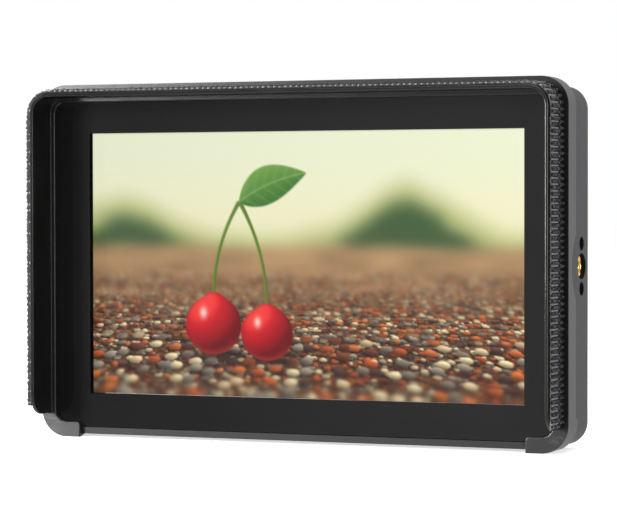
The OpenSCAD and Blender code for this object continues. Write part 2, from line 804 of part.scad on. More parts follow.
// A coil swept along Y, as rings of points joined into one closed tube
module lock_spring() {
    sides = 6;
    per_turn = 16;
    steps = spring_turns * per_turn;
    y0 = pocket_floor + spring_wire / 2;
    y1 = y_pin_block - pin_block_t - spring_wire / 2;
    points = [for (i = [0:steps], j = [0:sides - 1])
        let (a = 360 * i / per_turn, b = 360 * j / sides, r = spring_r + spring_wire / 2 * cos(b))
        [r * cos(a), y0 + (y1 - y0) * i / steps + spring_wire / 2 * sin(b), pin_z + r * sin(a)]];
    skin = [for (i = [0:steps - 1], j = [0:sides - 1]) let (a = i * sides, k = (j + 1) % sides)
        each [[a + j, a + k, a + sides + k], [a + j, a + sides + k, a + sides + j]]];
    ends = [[for (j = [sides - 1:-1:0]) j], [for (j = [0:sides - 1]) steps * sides + j]];
    color(steel) polyhedron(points = points, faces = concat(skin, ends), convexity = 6);
}

// Outlines of the hood frame in the front view
module frame_outline() {
    translate([0, (frame_top - over_bottom) / 2]) rounded(frame_w, frame_top + over_bottom, frame_r);
}

module lip_opening() {
    low = clip_h - over_bottom;
    high = frame_top - ring_top;
    translate([0, (low + high) / 2]) rounded(frame_w - 2 * ring_side, high - low, lip_r);
}

// The gap between the two corner clips, with the clips' upper corners rounded off
module clip_gap() {
    high = clip_h - over_bottom;
    square([2 * clip_x, 2 * (high + 1)], center = true);
    for (sx = [-1, 1]) difference() {
        translate([sx * (clip_x + clip_end_r / 2), high - clip_end_r / 2])
            square([clip_end_r + 0.02, clip_end_r + 0.02], center = true);
        translate([sx * (clip_x + clip_end_r), high - clip_end_r]) circle(r = clip_end_r);
    }
}

module hood_outline(out) {
    translate([0, (hood_top + out) / 2])
        rounded(hood_w + 2 * out, hood_top + out, hood_r + out);
}

// What is cut off the hood wall's lower end, in the side view
module wall_end_cut() {
    translate([y_rim - 1, -20]) square([hood_depth + 1, wall_end + 20]);
    difference() {
        translate([y_rim - 1, 0]) square([wall_end_r + 1, wall_end + wall_end_r]);
        translate([y_rim + wall_end_r, wall_end + wall_end_r]) circle(r = wall_end_r);
    }
}

module skirt(y1) {
    upright(y_glass, y1) difference() {
        frame_outline();
        translate([0, z_mid])
            rounded(body_w + 2 * frame_gap, body_h + 2 * frame_gap, body_r + frame_gap);
        clip_gap();
    }
}

module hood_frame() {
    color(gloss_black) difference() {
        union() {
            upright(y_flange, y_glass) difference() {
                frame_outline();
                lip_opening();
                clip_gap();
            }
            skirt(y_skirt);
            intersection() {
                skirt(y_skirt + heel_d);
                block([-frame_w, y_glass, -over_bottom - 1], [frame_w, y_skirt + heel_d + 1, heel_h]);
            }
            difference() {
                upright(y_rim, y_flange) difference() {
                    hood_outline(0);
                    hood_outline(-hood_wall);
                }
                along_x(-frame_w, frame_w) wall_end_cut();
            }
        }
        rod_x(0, z_mid, socket_clear_r, body_w / 2 - 1, frame_w);
        along_x(-frame_w, frame_w) polygon([[y_flange + 0.6, -over_bottom - 1], [y_flange + 0.6, -over_bottom],
            [y_flange + clip_ramp, -frame_gap], [y_back, -frame_gap], [y_back, -over_bottom - 1]]);
    }
}

module hook_tape() {
    y0 = y_rim + tape_setback;
    y1 = y_flange - tape_glue;
    color([0.06, 0.06, 0.06]) difference() {
        upright(y0, y1) difference() {
            hood_outline(tape_glue + tape_t);
            hood_outline(tape_glue);
        }
        block([-frame_w, y0 - 1, -20], [0, y1 + 1, tape_end_left]);
        block([-1, y0 - 1, -20], [frame_w, y1 + 1, tape_end_right]);
        along_x(-frame_w, frame_w) wall_end_cut();
    }
}

rear_shell();
front_bezel();
cover_glass();
glass_adhesive();
dust_gasket();
lcd_frame();
lcd_panel();
light_guide();
led_bar();
backlight_tray();
chassis_plate();
chassis_screws();
main_board();
board_screws();
processor_chips();
thermal_pad();
heat_spreader();
display_flex();
key_flex();
flex_sockets();
video_port(video_in_z);  // video_in_port
video_port(video_out_z);  // video_out_port
usb_port();
round_jack(headphone_z, headphone_r);  // headphone_jack
dc_jack();
key_board();
power_switch();
switch_plunger();
power_button();
status_light_pipe();
side_insert();
bottom_insert();
case_screws();
battery_plate();
plate_screws();
contact_block();
battery_contacts();
release_button();
lock_pin();
lock_spring();
hood_frame();
hook_tape();
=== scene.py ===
import json
import math
import bmesh
import bpy
import numpy as np
from mathutils import Matrix, Vector


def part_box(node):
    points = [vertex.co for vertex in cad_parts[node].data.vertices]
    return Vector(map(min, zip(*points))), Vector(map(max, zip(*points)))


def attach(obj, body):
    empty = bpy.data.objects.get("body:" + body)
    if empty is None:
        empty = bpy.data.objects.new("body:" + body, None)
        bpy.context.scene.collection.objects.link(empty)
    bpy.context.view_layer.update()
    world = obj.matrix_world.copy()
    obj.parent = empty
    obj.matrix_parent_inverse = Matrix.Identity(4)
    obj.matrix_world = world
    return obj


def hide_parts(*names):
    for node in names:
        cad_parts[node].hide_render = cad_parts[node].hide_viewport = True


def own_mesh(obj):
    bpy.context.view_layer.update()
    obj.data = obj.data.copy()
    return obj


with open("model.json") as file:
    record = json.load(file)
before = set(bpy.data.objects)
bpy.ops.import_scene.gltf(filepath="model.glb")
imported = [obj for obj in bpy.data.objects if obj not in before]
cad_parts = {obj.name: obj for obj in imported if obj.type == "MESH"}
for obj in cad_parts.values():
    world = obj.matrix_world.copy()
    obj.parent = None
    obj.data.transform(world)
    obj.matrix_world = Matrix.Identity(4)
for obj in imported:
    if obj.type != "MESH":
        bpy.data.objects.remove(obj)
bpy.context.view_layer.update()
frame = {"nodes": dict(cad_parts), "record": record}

mm = 0.001
weldGap = 2e-6  # metres

# places that several pieces share, in millimetres
monitor = {
    "backY": 5.35, "glassY": -13.05, "middleZ": 45.6, "halfWidth": 73.0, "corner": 6,
    "pictureWidth": 121.76, "pictureHeight": 68.49,
}
hood = {"halfWidth": 72.2, "top": 90.7, "corner": 5.25, "rimY": -24.35, "flangeY": -14.35}

# where the camera stands in metres, its turn in degrees, its lens and sensor in millimetres
cameraPlace = {
    "at": (0.2880, -0.6668, 0.0622), "yaw": 23.52, "pitch": -1.33, "roll": -0.09,
    "lens": 161.2, "sensor": 36, "near": 0.01, "far": 50,
}


def addObject(name, data):
    made = bpy.data.objects.new(name, data)
    bpy.context.scene.collection.objects.link(made)
    return made


def placeCamera(c):
    # forward, right and up come from yaw and pitch, and roll turns right and up about forward
    yaw, pitch, roll = (math.radians(c[k]) for k in ("yaw", "pitch", "roll"))
    level = math.cos(pitch)
    forward = np.array([-math.sin(yaw) * level, math.cos(yaw) * level, math.sin(pitch)])
    right = np.array([math.cos(yaw), math.sin(yaw), 0.0])
    up = np.cross(right, forward)
    rolledRight = right * math.cos(roll) + up * math.sin(roll)
    rolledUp = up * math.cos(roll) - right * math.sin(roll)
    data = bpy.data.cameras.new("camera")
    data.lens, data.sensor_width, data.sensor_fit = c["lens"], c["sensor"], "HORIZONTAL"
    data.clip_start, data.clip_end = c["near"], c["far"]
    camera = addObject("camera", data)
    turn = Matrix(np.stack([rolledRight, rolledUp, -forward], axis=1).tolist()).to_4x4()
    camera.matrix_world = Matrix.Translation(c["at"]) @ turn
    bpy.context.scene.camera = camera


placeCamera(cameraPlace)
bpy.context.scene.view_settings.view_transform = "Standard"
print("camera placed")


class Field:
    # one socket of a node tree, with arithmetic
    def __init__(self, tree, socket):
        self.tree, self.socket = tree, socket

    def join(self, operation, other=0.0, swap=False):
        node = self.tree.nodes.new("ShaderNodeMath")
        node.operation = operation
        pair = (other, self) if swap else (self, other)
        for slot, value in zip(node.inputs, pair):
            if isinstance(value, Field):
                self.tree.links.new(value.socket, slot)
            else:
                slot.default_value = value
        return Field(self.tree, node.outputs[0])

    def __add__(self, other): return self.join("ADD", other)
    __radd__ = __add__
    def __mul__(self, other): return self.join("MULTIPLY", other)
    __rmul__ = __mul__
    def __sub__(self, other): return self.join("SUBTRACT", other)
    def __rsub__(self, other): return self.join("SUBTRACT", other, swap=True)
    def __gt__(self, other): return self.join("GREATER_THAN", other)
    def __lt__(self, other): return self.join("LESS_THAN", other)
    def __abs__(self): return self.join("ABSOLUTE")
    def wave(self, pitch): return (self * (math.tau / pitch)).join("SINE")
    def most(self, other): return self.join("MAXIMUM", other)


class NodeTree:
    # a tree of nodes, and the few ways of adding to it
    def __init__(self, tree):
        self.tree, self.where = tree, None

    def words(self, key):
        # baseColor to Base Color
        return "".join(" " + c if c.isupper() else c for c in key).title().replace("Ior", "IOR")

    def node(self, kind, settings=None, output=0, **values):
        # sockets are given by name in camelCase, or by number as in0, in1
        node = self.tree.nodes.new("ShaderNode" + kind)
        for key, value in (settings or {}).items():
            setattr(node, key, value)
        for key, value in values.items():
            numbered = key[:2] == "in" and key[2:].isdigit()
            slot = node.inputs[int(key[2:]) if numbered else self.words(key)]
            if isinstance(value, Field):
                self.tree.links.new(value.socket, slot)
            else:
                slot.default_value = value
        return Field(self.tree, node.outputs[output])

    def between(self, value, low, high, first=0.0, last=1.0, curve="LINEAR"):
        # maps low..high onto first..last, clamped
        shape = {"interpolation_type": curve}
        return self.node("MapRange", shape, in0=value, in1=low, in2=high, in3=first, in4=last)

    def spread(self, noise, first=0.0, last=1.0):
        # the range where most of a noise lies
        return self.between(noise, 0.3, 0.7, first, last)

    def showAs(self, field):
        # links a shader to the tree's own output
        output = next(n for n in self.tree.nodes if n.type.startswith("OUTPUT"))
        self.tree.links.new(field.socket, output.inputs["Surface"])


class Finish(NodeTree):
    # a material with one principled shader, fed by noises and masks on Object coordinates
    def __init__(self, name, **fixed):
        self.material = bpy.data.materials.new(name)
        self.material.use_nodes = True
        super().__init__(self.material.node_tree)
        self.shader = self.tree.nodes["Principled BSDF"]
        for key, value in fixed.items():
            self.shader.inputs[self.words(key)].default_value = value

    def feed(self, **links):
        for key, value in links.items():
            self.tree.links.new(value.socket, self.shader.inputs[self.words(key)])
        return self

    def place(self):
        self.where = self.where or self.node("TexCoord", output=3)
        return self.where

    def axes(self, where=None):
        # the three coordinates in millimetres, of the object or of where
        where = where or self.place()
        return [self.node("SeparateXYZ", output=i, vector=where) * (1 / mm) for i in range(3)]

    def noise(self, scale, detail=3.0, roughness=0.5, stretch=None):
        where = self.node("Mapping", vector=self.place(), scale=stretch) if stretch else self.place()
        return self.node("TexNoise", vector=where, scale=scale, detail=detail, roughness=roughness)

    def cells(self, scale, feature="F1"):
        return self.node("TexVoronoi", {"feature": feature}, vector=self.place(), scale=scale)

    def blend(self, amount, first, second):
        return self.node("Mix", {"data_type": "RGBA"}, 2, in0=amount, in6=first, in7=second)

    def bump(self, height, distance):
        return self.node("Bump", height=height, distance=distance)


def grey(value, warm=0.0, cool=0.0):
    return (value * (1 + warm), value, value * (1 + cool), 1)


def mouldedSkin(f, grain, scuffFrom=0.60):
    # scuffed high spots over flow clouds, clouds with grain, and the spark-eroded grain alone
    cloud, speck = f.noise(38, 4), f.noise(grain, 2, 0.6)
    scuff = f.between(f.noise(260, 6, 0.7), scuffFrom, scuffFrom + 0.14)
    pale = scuff * 0.25 + f.between(cloud, 0.35, 0.65) * 0.6
    return pale, cloud * 0.6 + speck * 0.4, speck


def mouldedPlastic(name, dark, light, rough, grain=2000, grainDepth=0.00002, **fixed):
    # a skin between two tones, its grain in the normal too
    f = Finish(name, **fixed)
    pale, mottle, speck = mouldedSkin(f, grain)
    return f.feed(
        baseColor=f.blend(pale, dark, light),
        roughness=f.spread(mottle, *rough), normal=f.bump(speck, grainDepth))


# where the body's skin turns in and the holes get painted shade: how far the side and bottom holes reach across,
# along, and inwards
socketHole = {"across": 3.6, "along": 7.8, "skinX": 72.93, "sideEnd": 60.0, "skinZ": 0.07, "bottomEnd": 13.0}


def shellPlastic(h):
    # a moulded skin, and painted shade down in the socket and locating holes, whose walls are near black and matt
    f = Finish("shellPlastic", specularIorLevel=0.40)
    x, y, z = f.axes()
    pale, mottle, speck = mouldedSkin(f, 2600, 0.62)
    near = abs(y) < h["across"]
    side = (x < h["skinX"]) * near * (abs(z - monitor["middleZ"]) < h["along"]) * (x > h["sideEnd"])
    below = (z > h["skinZ"]) * near * (abs(x) < h["along"]) * (z < h["bottomEnd"])
    # painted shade: the hole walls are near black and rougher, where little light reaches
    deep = side.most(below)
    return f.feed(
        baseColor=f.blend(deep, f.blend(pale, grey(0.022, 0.05, 0.30), grey(0.030, 0.05, 0.30)), grey(0.0015)),
        roughness=f.spread(mottle, 0.45, 0.52) + deep * 0.45, normal=f.bump(speck, 0.00004))


def framePlastic():
    # polished inside, satin low down on the corner clips, glossy on the rim, with long faint rub marks
    f = Finish("framePlastic")
    x, y, z = f.axes()
    satin = f.between(z, 2.5, 9.0, 1.0, 0.0)
    onRim = y < hood["rimY"] + 0.01
    cloud, speck = f.noise(42, 4), f.noise(1800, 2, 0.6)
    rub = f.between(f.noise(60, 6, 0.65, (1, 1, 7)), 0.56, 0.72)
    mark = f.between(f.noise(420, 6, 0.75, (0.35, 1, 1)), 0.52, 0.66) * satin
    pale = rub * 0.2 + satin * 0.3 + mark * 0.5 + cloud * 0.2
    rough = f.spread(cloud, 0.27, 0.30) + satin * 0.05 + rub * 0.02 + mark * 0.12
    return f.feed(
        baseColor=f.blend(pale, grey(0.0045, 0, 0.05), grey(0.024, 0, 0.04)),
        roughness=rough * (1 - onRim * 0.72), normal=f.bump(speck + mark * 0.8, 0.000014))


def metal(name, first, second, rough, brush=(1, 1, 1), scale=900):
    # brushed or turned metal: a stretched noise in colour, roughness and height
    f = Finish(name, metallic=1.0)
    line = f.noise(scale, 4, 0.6, brush)
    return f.feed(
        baseColor=f.blend(f.spread(line), first, second),
        roughness=f.spread(line, *rough), normal=f.bump(line, 0.00001))


def boardLaminate():
    # lacquered glass cloth, with copper lanes showing through as paler cells
    f = Finish("boardLaminate", specularIorLevel=0.5)
    x, y, z = f.axes()
    weave = x.wave(0.6981) * z.wave(0.6981)
    lanes = f.between(f.cells(420, "DISTANCE_TO_EDGE"), 0.02, 0.05)
    return f.feed(
        baseColor=f.blend(lanes, (0.018, 0.11, 0.06, 1), (0.010, 0.065, 0.036, 1)),
        roughness=f.between(weave, -1, 1, 0.26, 0.36), normal=f.bump(lanes + weave * 0.1, 0.00003))


def filmCable():
    # amber film over copper traces 0.5 mm apart
    f = Finish("filmCable")
    trace = f.axes()[0].wave(0.5) > 0.1
    return f.feed(
        baseColor=f.blend(trace, (0.30, 0.13, 0.02, 1), (0.48, 0.24, 0.05, 1)),
        roughness=f.spread(f.noise(300), 0.25, 0.4), normal=f.bump(trace, 0.00002))


def lampStrip():
    # white strip with a yellow lamp every 3.4 mm
    f = Finish("lampStrip")
    lamp = f.axes()[2].wave(3.4) > 0.2
    return f.feed(
        baseColor=f.blend(lamp, grey(0.7), (0.85, 0.72, 0.2, 1)),
        roughness=f.between(lamp, 0, 1, 0.5, 0.3))


def lightPipe():
    # clear moulding with a faint blue haze
    f = Finish("lightPipe", transmissionWeight=0.6, ior=1.49)
    haze = f.noise(900, 3)
    return f.feed(
        baseColor=f.blend(haze, (0.80, 0.87, 0.95, 1), (0.92, 0.96, 1.0, 1)),
        roughness=f.spread(haze, 0.08, 0.2))


# the clear part of the front glass, in millimetres
window = {"middleX": 1.0, "halfWide": 61.2, "halfHigh": 34.7, "blur": 0.08}


def frontGlass(w):
    # black print behind coated glass, with a clear window over the picture
    f = Finish("frontGlass", ior=1.5, specularIorLevel=0.32)
    x, y, z = f.axes()
    reach = abs(x - w["middleX"]) - w["halfWide"]
    rise = abs(z - monitor["middleZ"]) - w["halfHigh"]
    printed = f.between(reach.most(rise), -w["blur"], w["blur"])
    smear = f.noise(26, 5, 0.55)
    dust = f.between(f.cells(900), 0.012, 0.02, 1, 0)
    return f.feed(
        baseColor=f.blend(f.between(smear, 0.35, 0.7) * 0.4 + dust * 0.2, grey(0.0065), grey(0.0095)),
        roughness=f.between(smear, 0.3, 0.75, 0.03, 0.07),
        alpha=printed * 0.97 + 0.03)


def litPicture():
    # a colour attribute worked out below, glowing on a dark cell
    f = Finish("litPicture", roughness=0.6, specularIorLevel=0.0, emissionStrength=1.0)
    cell = f.blend(f.spread(f.noise(5200, 1)), grey(0.008), grey(0.012))
    return f.feed(baseColor=cell, emissionColor=f.node("Attribute", {"attribute_name": "light"}))


# by slot: name, dark and light colour, roughness span, and maybe grain scale and depth in metres
plastics = {
    "plate": ("platePlastic", grey(0.020), grey(0.03), (0.42, 0.52), 2200, 0.00004),
    "button": ("buttonPlastic", grey(0.018), grey(0.026), (0.28, 0.36), 1800, 0.00002),
    "jack": ("jackPlastic", grey(0.012), grey(0.018), (0.3, 0.4)),
    "plunger": ("plungerPlastic", grey(0.62, 0.04), grey(0.70, 0.04), (0.4, 0.5)),
    "flex_socket": ("socketPlastic", (0.55, 0.5, 0.38, 1), (0.66, 0.6, 0.46, 1), (0.4, 0.5)),
    "tray_white": ("trayPlastic", grey(0.7), grey(0.78), (0.5, 0.6)),
    "light_sheet": ("lightSheet", grey(0.75, 0, 0.05), grey(0.85, 0, 0.05), (0.1, 0.2), 3000, 0.00001),
    "chip": ("chipPackage", grey(0.02), grey(0.03), (0.5, 0.62), 5000, 0.00002),
    "foam": ("foam", grey(0.045), grey(0.065), (0.85, 0.95), 4000, 0.00012),
    "adhesive": ("adhesiveTape", grey(0.015), grey(0.022), (0.6, 0.7), 2500, 0.00002),
    "thermal_pad": ("thermalPad", (0.24, 0.30, 0.38, 1), (0.30, 0.36, 0.44, 1), (0.7, 0.8), 1500, 0.00005),
    "hook_tape": ("hookTape", grey(0.02), grey(0.03), (0.5, 0.6), 2000, 0.00004),
}
# by slot: name, dark and light colour, roughness span, and maybe the brush lines' stretch and scale
metals = {
    "sheet_steel": ("sheetSteel", grey(0.42), grey(0.55), (0.28, 0.42), (0.05, 1, 1), 1200),
    "port_steel": ("platedSteel", grey(0.55), grey(0.68), (0.16, 0.26), (1, 1, 0.1)),
    "spreader": ("milledAluminium", grey(0.55), grey(0.66), (0.3, 0.42), (1, 1, 0.04), 1500),
    "brass": ("turnedBrass", (0.62, 0.36, 0.09, 1), (0.84, 0.55, 0.19, 1), (0.24, 0.36), (1, 1, 1), 700),
    "screw_black": ("blackZinc", grey(0.03), grey(0.055), (0.34, 0.46)),
    "screw_steel": ("brightZinc", grey(0.5), grey(0.64), (0.22, 0.34)),
    "contact": ("goldPlate", (0.72, 0.47, 0.14, 1), (0.85, 0.60, 0.24, 1), (0.16, 0.24), (1, 1, 0.1)),
    "steel": ("groundSteel", grey(0.5), grey(0.62), (0.2, 0.3), (1, 0.1, 1)),
}
finishes = {
    "shell": shellPlastic(socketHole), "hood_plastic": framePlastic(), "board": boardLaminate(),
    "flex": filmCable(), "led_white": lampStrip(), "light_pipe": lightPipe(),
    "cover_glass": frontGlass(window), "display_cell": litPicture(),
}
finishes.update({slot: mouldedPlastic(*row) for slot, row in plastics.items()})
finishes.update({slot: metal(*row) for slot, row in metals.items()})
print("finishes made:", len(finishes))


def gridFaces(rows, columns, closeRows=False, closeColumns=False):
    # quads of a rows x columns grid of points numbered row by row
    i = np.arange(rows if closeRows else rows - 1)[:, None]
    j = np.arange(columns if closeColumns else columns - 1)[None, :]
    nextI, nextJ = (i + 1) % rows, (j + 1) % columns
    corners = (i * columns + j, i * columns + nextJ, nextI * columns + nextJ, nextI * columns + j)
    return np.stack(np.broadcast_arrays(*corners), axis=-1).reshape(-1, 4)


def addPiece(name, mesh, body, slotName, finish=None, replaced=()):
    # the mesh as a piece of the model: its object, its finish taken by slot, its body, and the CAD nodes it stands
    # for hidden
    piece = addObject(name, mesh)
    mesh.materials.append((finish or finishes[slotName]).material)
    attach(piece, body)
    if replaced:
        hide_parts(*replaced)
    return piece


def makePiece(name, points, faces, body, slotName, finish=None, replaced=(), uv=None, smooth=35):
    # points in millimetres, faces as lists of point numbers, smooth in degrees
    mesh = bpy.data.meshes.new(name)
    mesh.from_pydata((np.asarray(points, float).reshape(-1, 3) * mm).tolist(), [], faces)
    if uv is not None:
        corner = np.empty(len(mesh.loops), dtype=np.int32)
        mesh.loops.foreach_get("vertex_index", corner)
        layer = mesh.uv_layers.new(name="along")
        layer.data.foreach_set("uv", np.asarray(uv, float).reshape(-1, 2)[corner].ravel())
    work = bmesh.new()
    work.from_mesh(mesh)
    bmesh.ops.recalc_face_normals(work, faces=work.faces)
    work.to_mesh(mesh)
    work.free()
    mesh.shade_smooth()
    mesh.set_sharp_from_angle(angle=math.radians(smooth))
    return addPiece(name, mesh, body, slotName, finish, replaced)


def bodyOf(node):
    return next(b for b, members in frame["record"]["behaviour"]["bodies"].items() if node in members)


def slotOf(node):
    return next(s["material_slot"] for s in frame["record"]["subparts"] if s["node"] == node)


def bareCopy(node):
    # a CAD node's mesh as a new one without its finish
    mesh = frame["nodes"][node].data.copy()
    mesh.materials.clear()
    return mesh


def weld(mesh):
    # the mesh's loose triangles joined up
    work = bmesh.new()
    work.from_mesh(mesh)
    bmesh.ops.remove_doubles(work, verts=work.verts, dist=weldGap)
    return work


# angles in degrees: flats join below flat, edges round above fold and run on below along
edging = {"flat": 0.4, "fold": 32, "along": 40, "shade": 30}


def soften(name, node, widest, ease=None, segments=2, finish=None):
    # a welded copy of a CAD node, its flats joined up and its edges rounded; ease gives an edge's width in
    # millimetres from the places of its two ends, up to widest, and without it every edge has widest
    mesh = bareCopy(node)
    work = weld(mesh)
    bmesh.ops.dissolve_limit(work, angle_limit=math.radians(edging["flat"]), verts=work.verts, edges=work.edges)
    weight = work.edges.layers.float.new("bevel_weight_edge")
    fold, runOn = math.radians(edging["fold"]), math.radians(edging["along"])
    sharp = {edge for edge in work.edges if len(edge.link_faces) == 2 and edge.calc_face_angle(0) > fold}
    width = {edge: min(ease(*(v.co / mm)) for v in edge.verts) if ease else widest for edge in sharp}
    # edges that run on into one another take the smallest width among them, or their roundings would cross
    pairs = [(one, other) for v in work.verts for one in v.link_edges for other in v.link_edges
             if one in sharp and other in sharp and one is not other
             and (one.other_vert(v).co - v.co).angle(v.co - other.other_vert(v).co) < runOn]
    changed = True
    while changed:
        changed = False
        for one, other in pairs:
            if width[other] < width[one] - 1e-6:
                width[one], changed = width[other], True
    for edge in sharp:
        edge[weight] = width[edge] / widest
    work.to_mesh(mesh)
    work.free()
    if "custom_normal" in mesh.attributes:
        mesh.attributes.remove(mesh.attributes["custom_normal"])
    mesh.shade_smooth()
    mesh.set_sharp_from_angle(angle=math.radians(edging["shade"]))
    piece = addPiece(name, mesh, bodyOf(node), slotOf(node), finish, (node,))
    bevel = piece.modifiers.new("edges", "BEVEL")
    bevel.width, bevel.segments, bevel.limit_method = widest * mm, segments, "WEIGHT"
    bevel.use_clamp_overlap, bevel.miter_outer = False, "MITER_ARC"
    weigh = piece.modifiers.new("flats", "WEIGHTED_NORMAL")
    weigh.keep_sharp, weigh.weight = True, 60


def skinGap(x, z):
    # distance from the body's outline, a rectangle with round corners: 0 on it, less than 0 inside
    r, middle = monitor["corner"], monitor["middleZ"]
    dx, dz = abs(x) - (monitor["halfWidth"] - r), abs(z - middle) - (middle - r)
    return math.hypot(max(dx, 0), max(dz, 0)) + min(max(dx, dz), 0) - r


# the widths of the roundings by place: largest on the outlines, none where they would cross small steps
closeTo = 0.05  # millimetres


def shellEase(x, y, z):
    atBack = y > monitor["backY"] - closeTo
    if skinGap(x, z) > -closeTo:
        return 0.3 if atBack else 0.12
    return 0.12 if atBack else 0.0


def bezelEase(x, y, z):
    return 0.14 if skinGap(x, z) > -closeTo or y < monitor["glassY"] + closeTo else 0.0


def hoodEase(x, y, z):
    onClip = y < hood["flangeY"] + closeTo and abs(x) > 71 and z < 10.5
    if y < hood["rimY"] + 0.01 or onClip:
        return 0.27
    if abs(y - hood["flangeY"]) < 0.02 and abs(x) < 70.2:
        return 0.3
    return 0.15 if z > 1 else 0.05


def jackEase(x, y, z):
    return 0.12 if x < -71 else 0.0


# like the body's plastic, but matt and neutral
bezelPlastic = mouldedPlastic(
    "bezelPlastic", grey(0.009), grey(0.015), (0.5, 0.6), 2400, 0.00004, specularIorLevel=0.3)

# by node: name, widest rounding, and where they differ a rule by place, segments and a finish
softEdges = {
    "rear_shell": ("monitorShell", 0.3, shellEase), "front_bezel": ("frontBezel", 0.14, bezelEase, 2, bezelPlastic),
    "hood_frame": ("hoodFrame", 0.3, hoodEase, 3), "battery_plate": ("batteryPlate", 0.12),
    "contact_block": ("contactBlock", 0.1), "release_button": ("releaseButton", 0.04),
    "power_button": ("powerButton", 0.22), "cover_glass": ("coverGlass", 0.12), "usb_port": ("usbPort", 0.1),
    "headphone_jack": ("headphoneJack", 0.12, jackEase), "dc_jack": ("dcJack", 0.12, jackEase),
}
for node, (name, widest, *more) in softEdges.items():
    soften(name, node, widest, *more)
print("softened:", len(softEdges))


# colours are 0..255 as seen; woods are place, width and height, stones are count across, where they begin
# and a seed, blurs are rounds and the distances from focus where they come in
picture = {
    "columns": 400, "rows": 226, "wide": 1.778, "horizon": 0.43, "focus": 0.80,
    "skyTop": (238, 243, 212), "skyLow": (244, 240, 198), "wood": (58, 86, 52), "woodFar": (170, 178, 104),
    "soilFar": (176, 140, 100), "soilNear": (112, 74, 50),
    "woods": ((0.12, 0.26, 0.15), (1.34, 0.24, 0.19)),
    "stones": ((64, 0.10, 3.0), (40, 0.30, 8.0), (24, 0.52, 1.7)),
    "shades": ((206, 112, 60), (226, 200, 156), (120, 62, 44), (158, 146, 128),
               (236, 216, 168), (88, 58, 54), (184, 88, 48), (134, 122, 108)),
    "blurs": ((2, 0.22, 0.36), (12, 0.34, 0.62), (60, 0.62, 0.95)),
}
cherries = {
    "joint": (0.63, 0.26), "balls": ((0.52, 0.735, 0.118), (0.745, 0.765, 0.108)),
    "leafLong": 0.30, "leafHalf": 0.072, "shadow": (38, 22, 20), "stalk": (96, 128, 44),
    "leaf": (62, 118, 48), "leafPale": (132, 176, 84), "vein": (164, 196, 120),
    "skin": (112, 4, 16), "skinLit": (238, 30, 44), "skinPale": (255, 92, 70),
    "shine": (255, 232, 222), "fromBelow": (190, 90, 60),
}


def smoothStep(low, high, value):
    # 0 at low, 1 at high and 3tt - 2ttt between
    t = np.clip((value - low) / (high - low), 0, 1)
    return t * t * (3 - 2 * t)


def bell(value, width):
    # e to the power of minus (value / width) squared
    return np.exp(-(value / width) ** 2)


def lattice(u, v, seed):
    # value noise: a random number at each whole point, smoothly blended between
    def pick(i, j):
        h = np.sin(i * 127.1 + j * 311.7 + seed * 74.7) * 43758.5453
        return h - np.floor(h)
    i, j = np.floor(u), np.floor(v)
    a, b = u - i, v - j
    a, b = a * a * (3 - 2 * a), b * b * (3 - 2 * b)
    upper = pick(i, j) * (1 - a) + pick(i + 1, j) * a
    lower = pick(i, j + 1) * (1 - a) + pick(i + 1, j + 1) * a
    return upper * (1 - b) + lower * b


def cloudy(u, v, seed, octaves=4):
    # lattices added up, each twice as fine and half as strong
    return sum(lattice(u * 2 ** k, v * 2 ** k, seed + 13 * k) / 2 ** (k + 1) for k in range(octaves))


def stones(u, v, seed):
    # nearest of one wandering stone in each cell: its distance, its own random number and the way to it
    best = np.full(u.shape, 9.0)
    tone, toU, toV = np.zeros(u.shape), np.zeros(u.shape), np.zeros(u.shape)
    for di in (-1, 0, 1):
        for dj in (-1, 0, 1):
            i, j = np.floor(u) + di, np.floor(v) + dj
            r = [np.modf(np.abs(np.sin(i * (12.9 + k) + j * (78.2 - k) + seed) * 43758.5))[0] for k in range(3)]
            du, dv = u - i - 0.15 - 0.7 * r[0], v - j - 0.15 - 0.7 * r[1]
            gap = np.hypot(du, dv * 1.25)
            near = gap < best
            best, tone = np.where(near, gap, best), np.where(near, r[2], tone)
            toU, toV = np.where(near, du, toU), np.where(near, dv, toV)
    return best, tone, toU, toV


def mixTo(first, second, amount):
    # colours, first where amount is 0 and second where it is 1
    amount = amount[..., None]
    return np.asarray(first, float) * (1 - amount) + np.asarray(second, float) * amount


def softened(image, steps):
    # a soft blur: steps rounds of averaging each point with its four neighbours
    for _ in range(steps):
        wide = np.pad(image, ((1, 1), (1, 1), (0, 0)), mode="edge")
        beside = wide[2:, 1:-1] + wide[:-2, 1:-1] + wide[1:-1, 2:] + wide[1:-1, :-2]
        image = (wide[1:-1, 1:-1] * 2 + beside) / 6
    return image


def paintSoil(p, u, depth):
    # wandering brown tones, and three sizes of stones where the ground comes into focus
    soil = mixTo(p["soilFar"], p["soilNear"], smoothStep(0.05, 0.8, depth))
    soil *= (0.70 + 0.62 * cloudy(u * 8, depth * 22, 11, 4))[..., None]
    shades = np.array(p["shades"], float)
    for count, low, seed in p["stones"]:
        across = (u - p["wide"] / 2) * count / p["wide"] / (0.55 + 0.45 * depth) + 57
        gap, tone, du, dv = stones(across, np.log(0.35 + depth) * count * 0.62 + 70, seed)
        here = smoothStep(low, low + 0.15, depth)
        light = np.clip(0.60 - 1.1 * dv + 0.4 * du, 0.10, 1.3)
        stone = shades[(np.modf(tone * 7.3)[0] * 7.999).astype(int)] * (0.30 + 0.95 * light)[..., None]
        soil *= (1 - 0.45 * bell(gap - 0.50, 0.12) * (dv > 0) * here)[..., None]
        soil = mixTo(soil, stone, (1 - smoothStep(0.34, 0.50, gap)) * here * (tone > 0.2))
    return soil


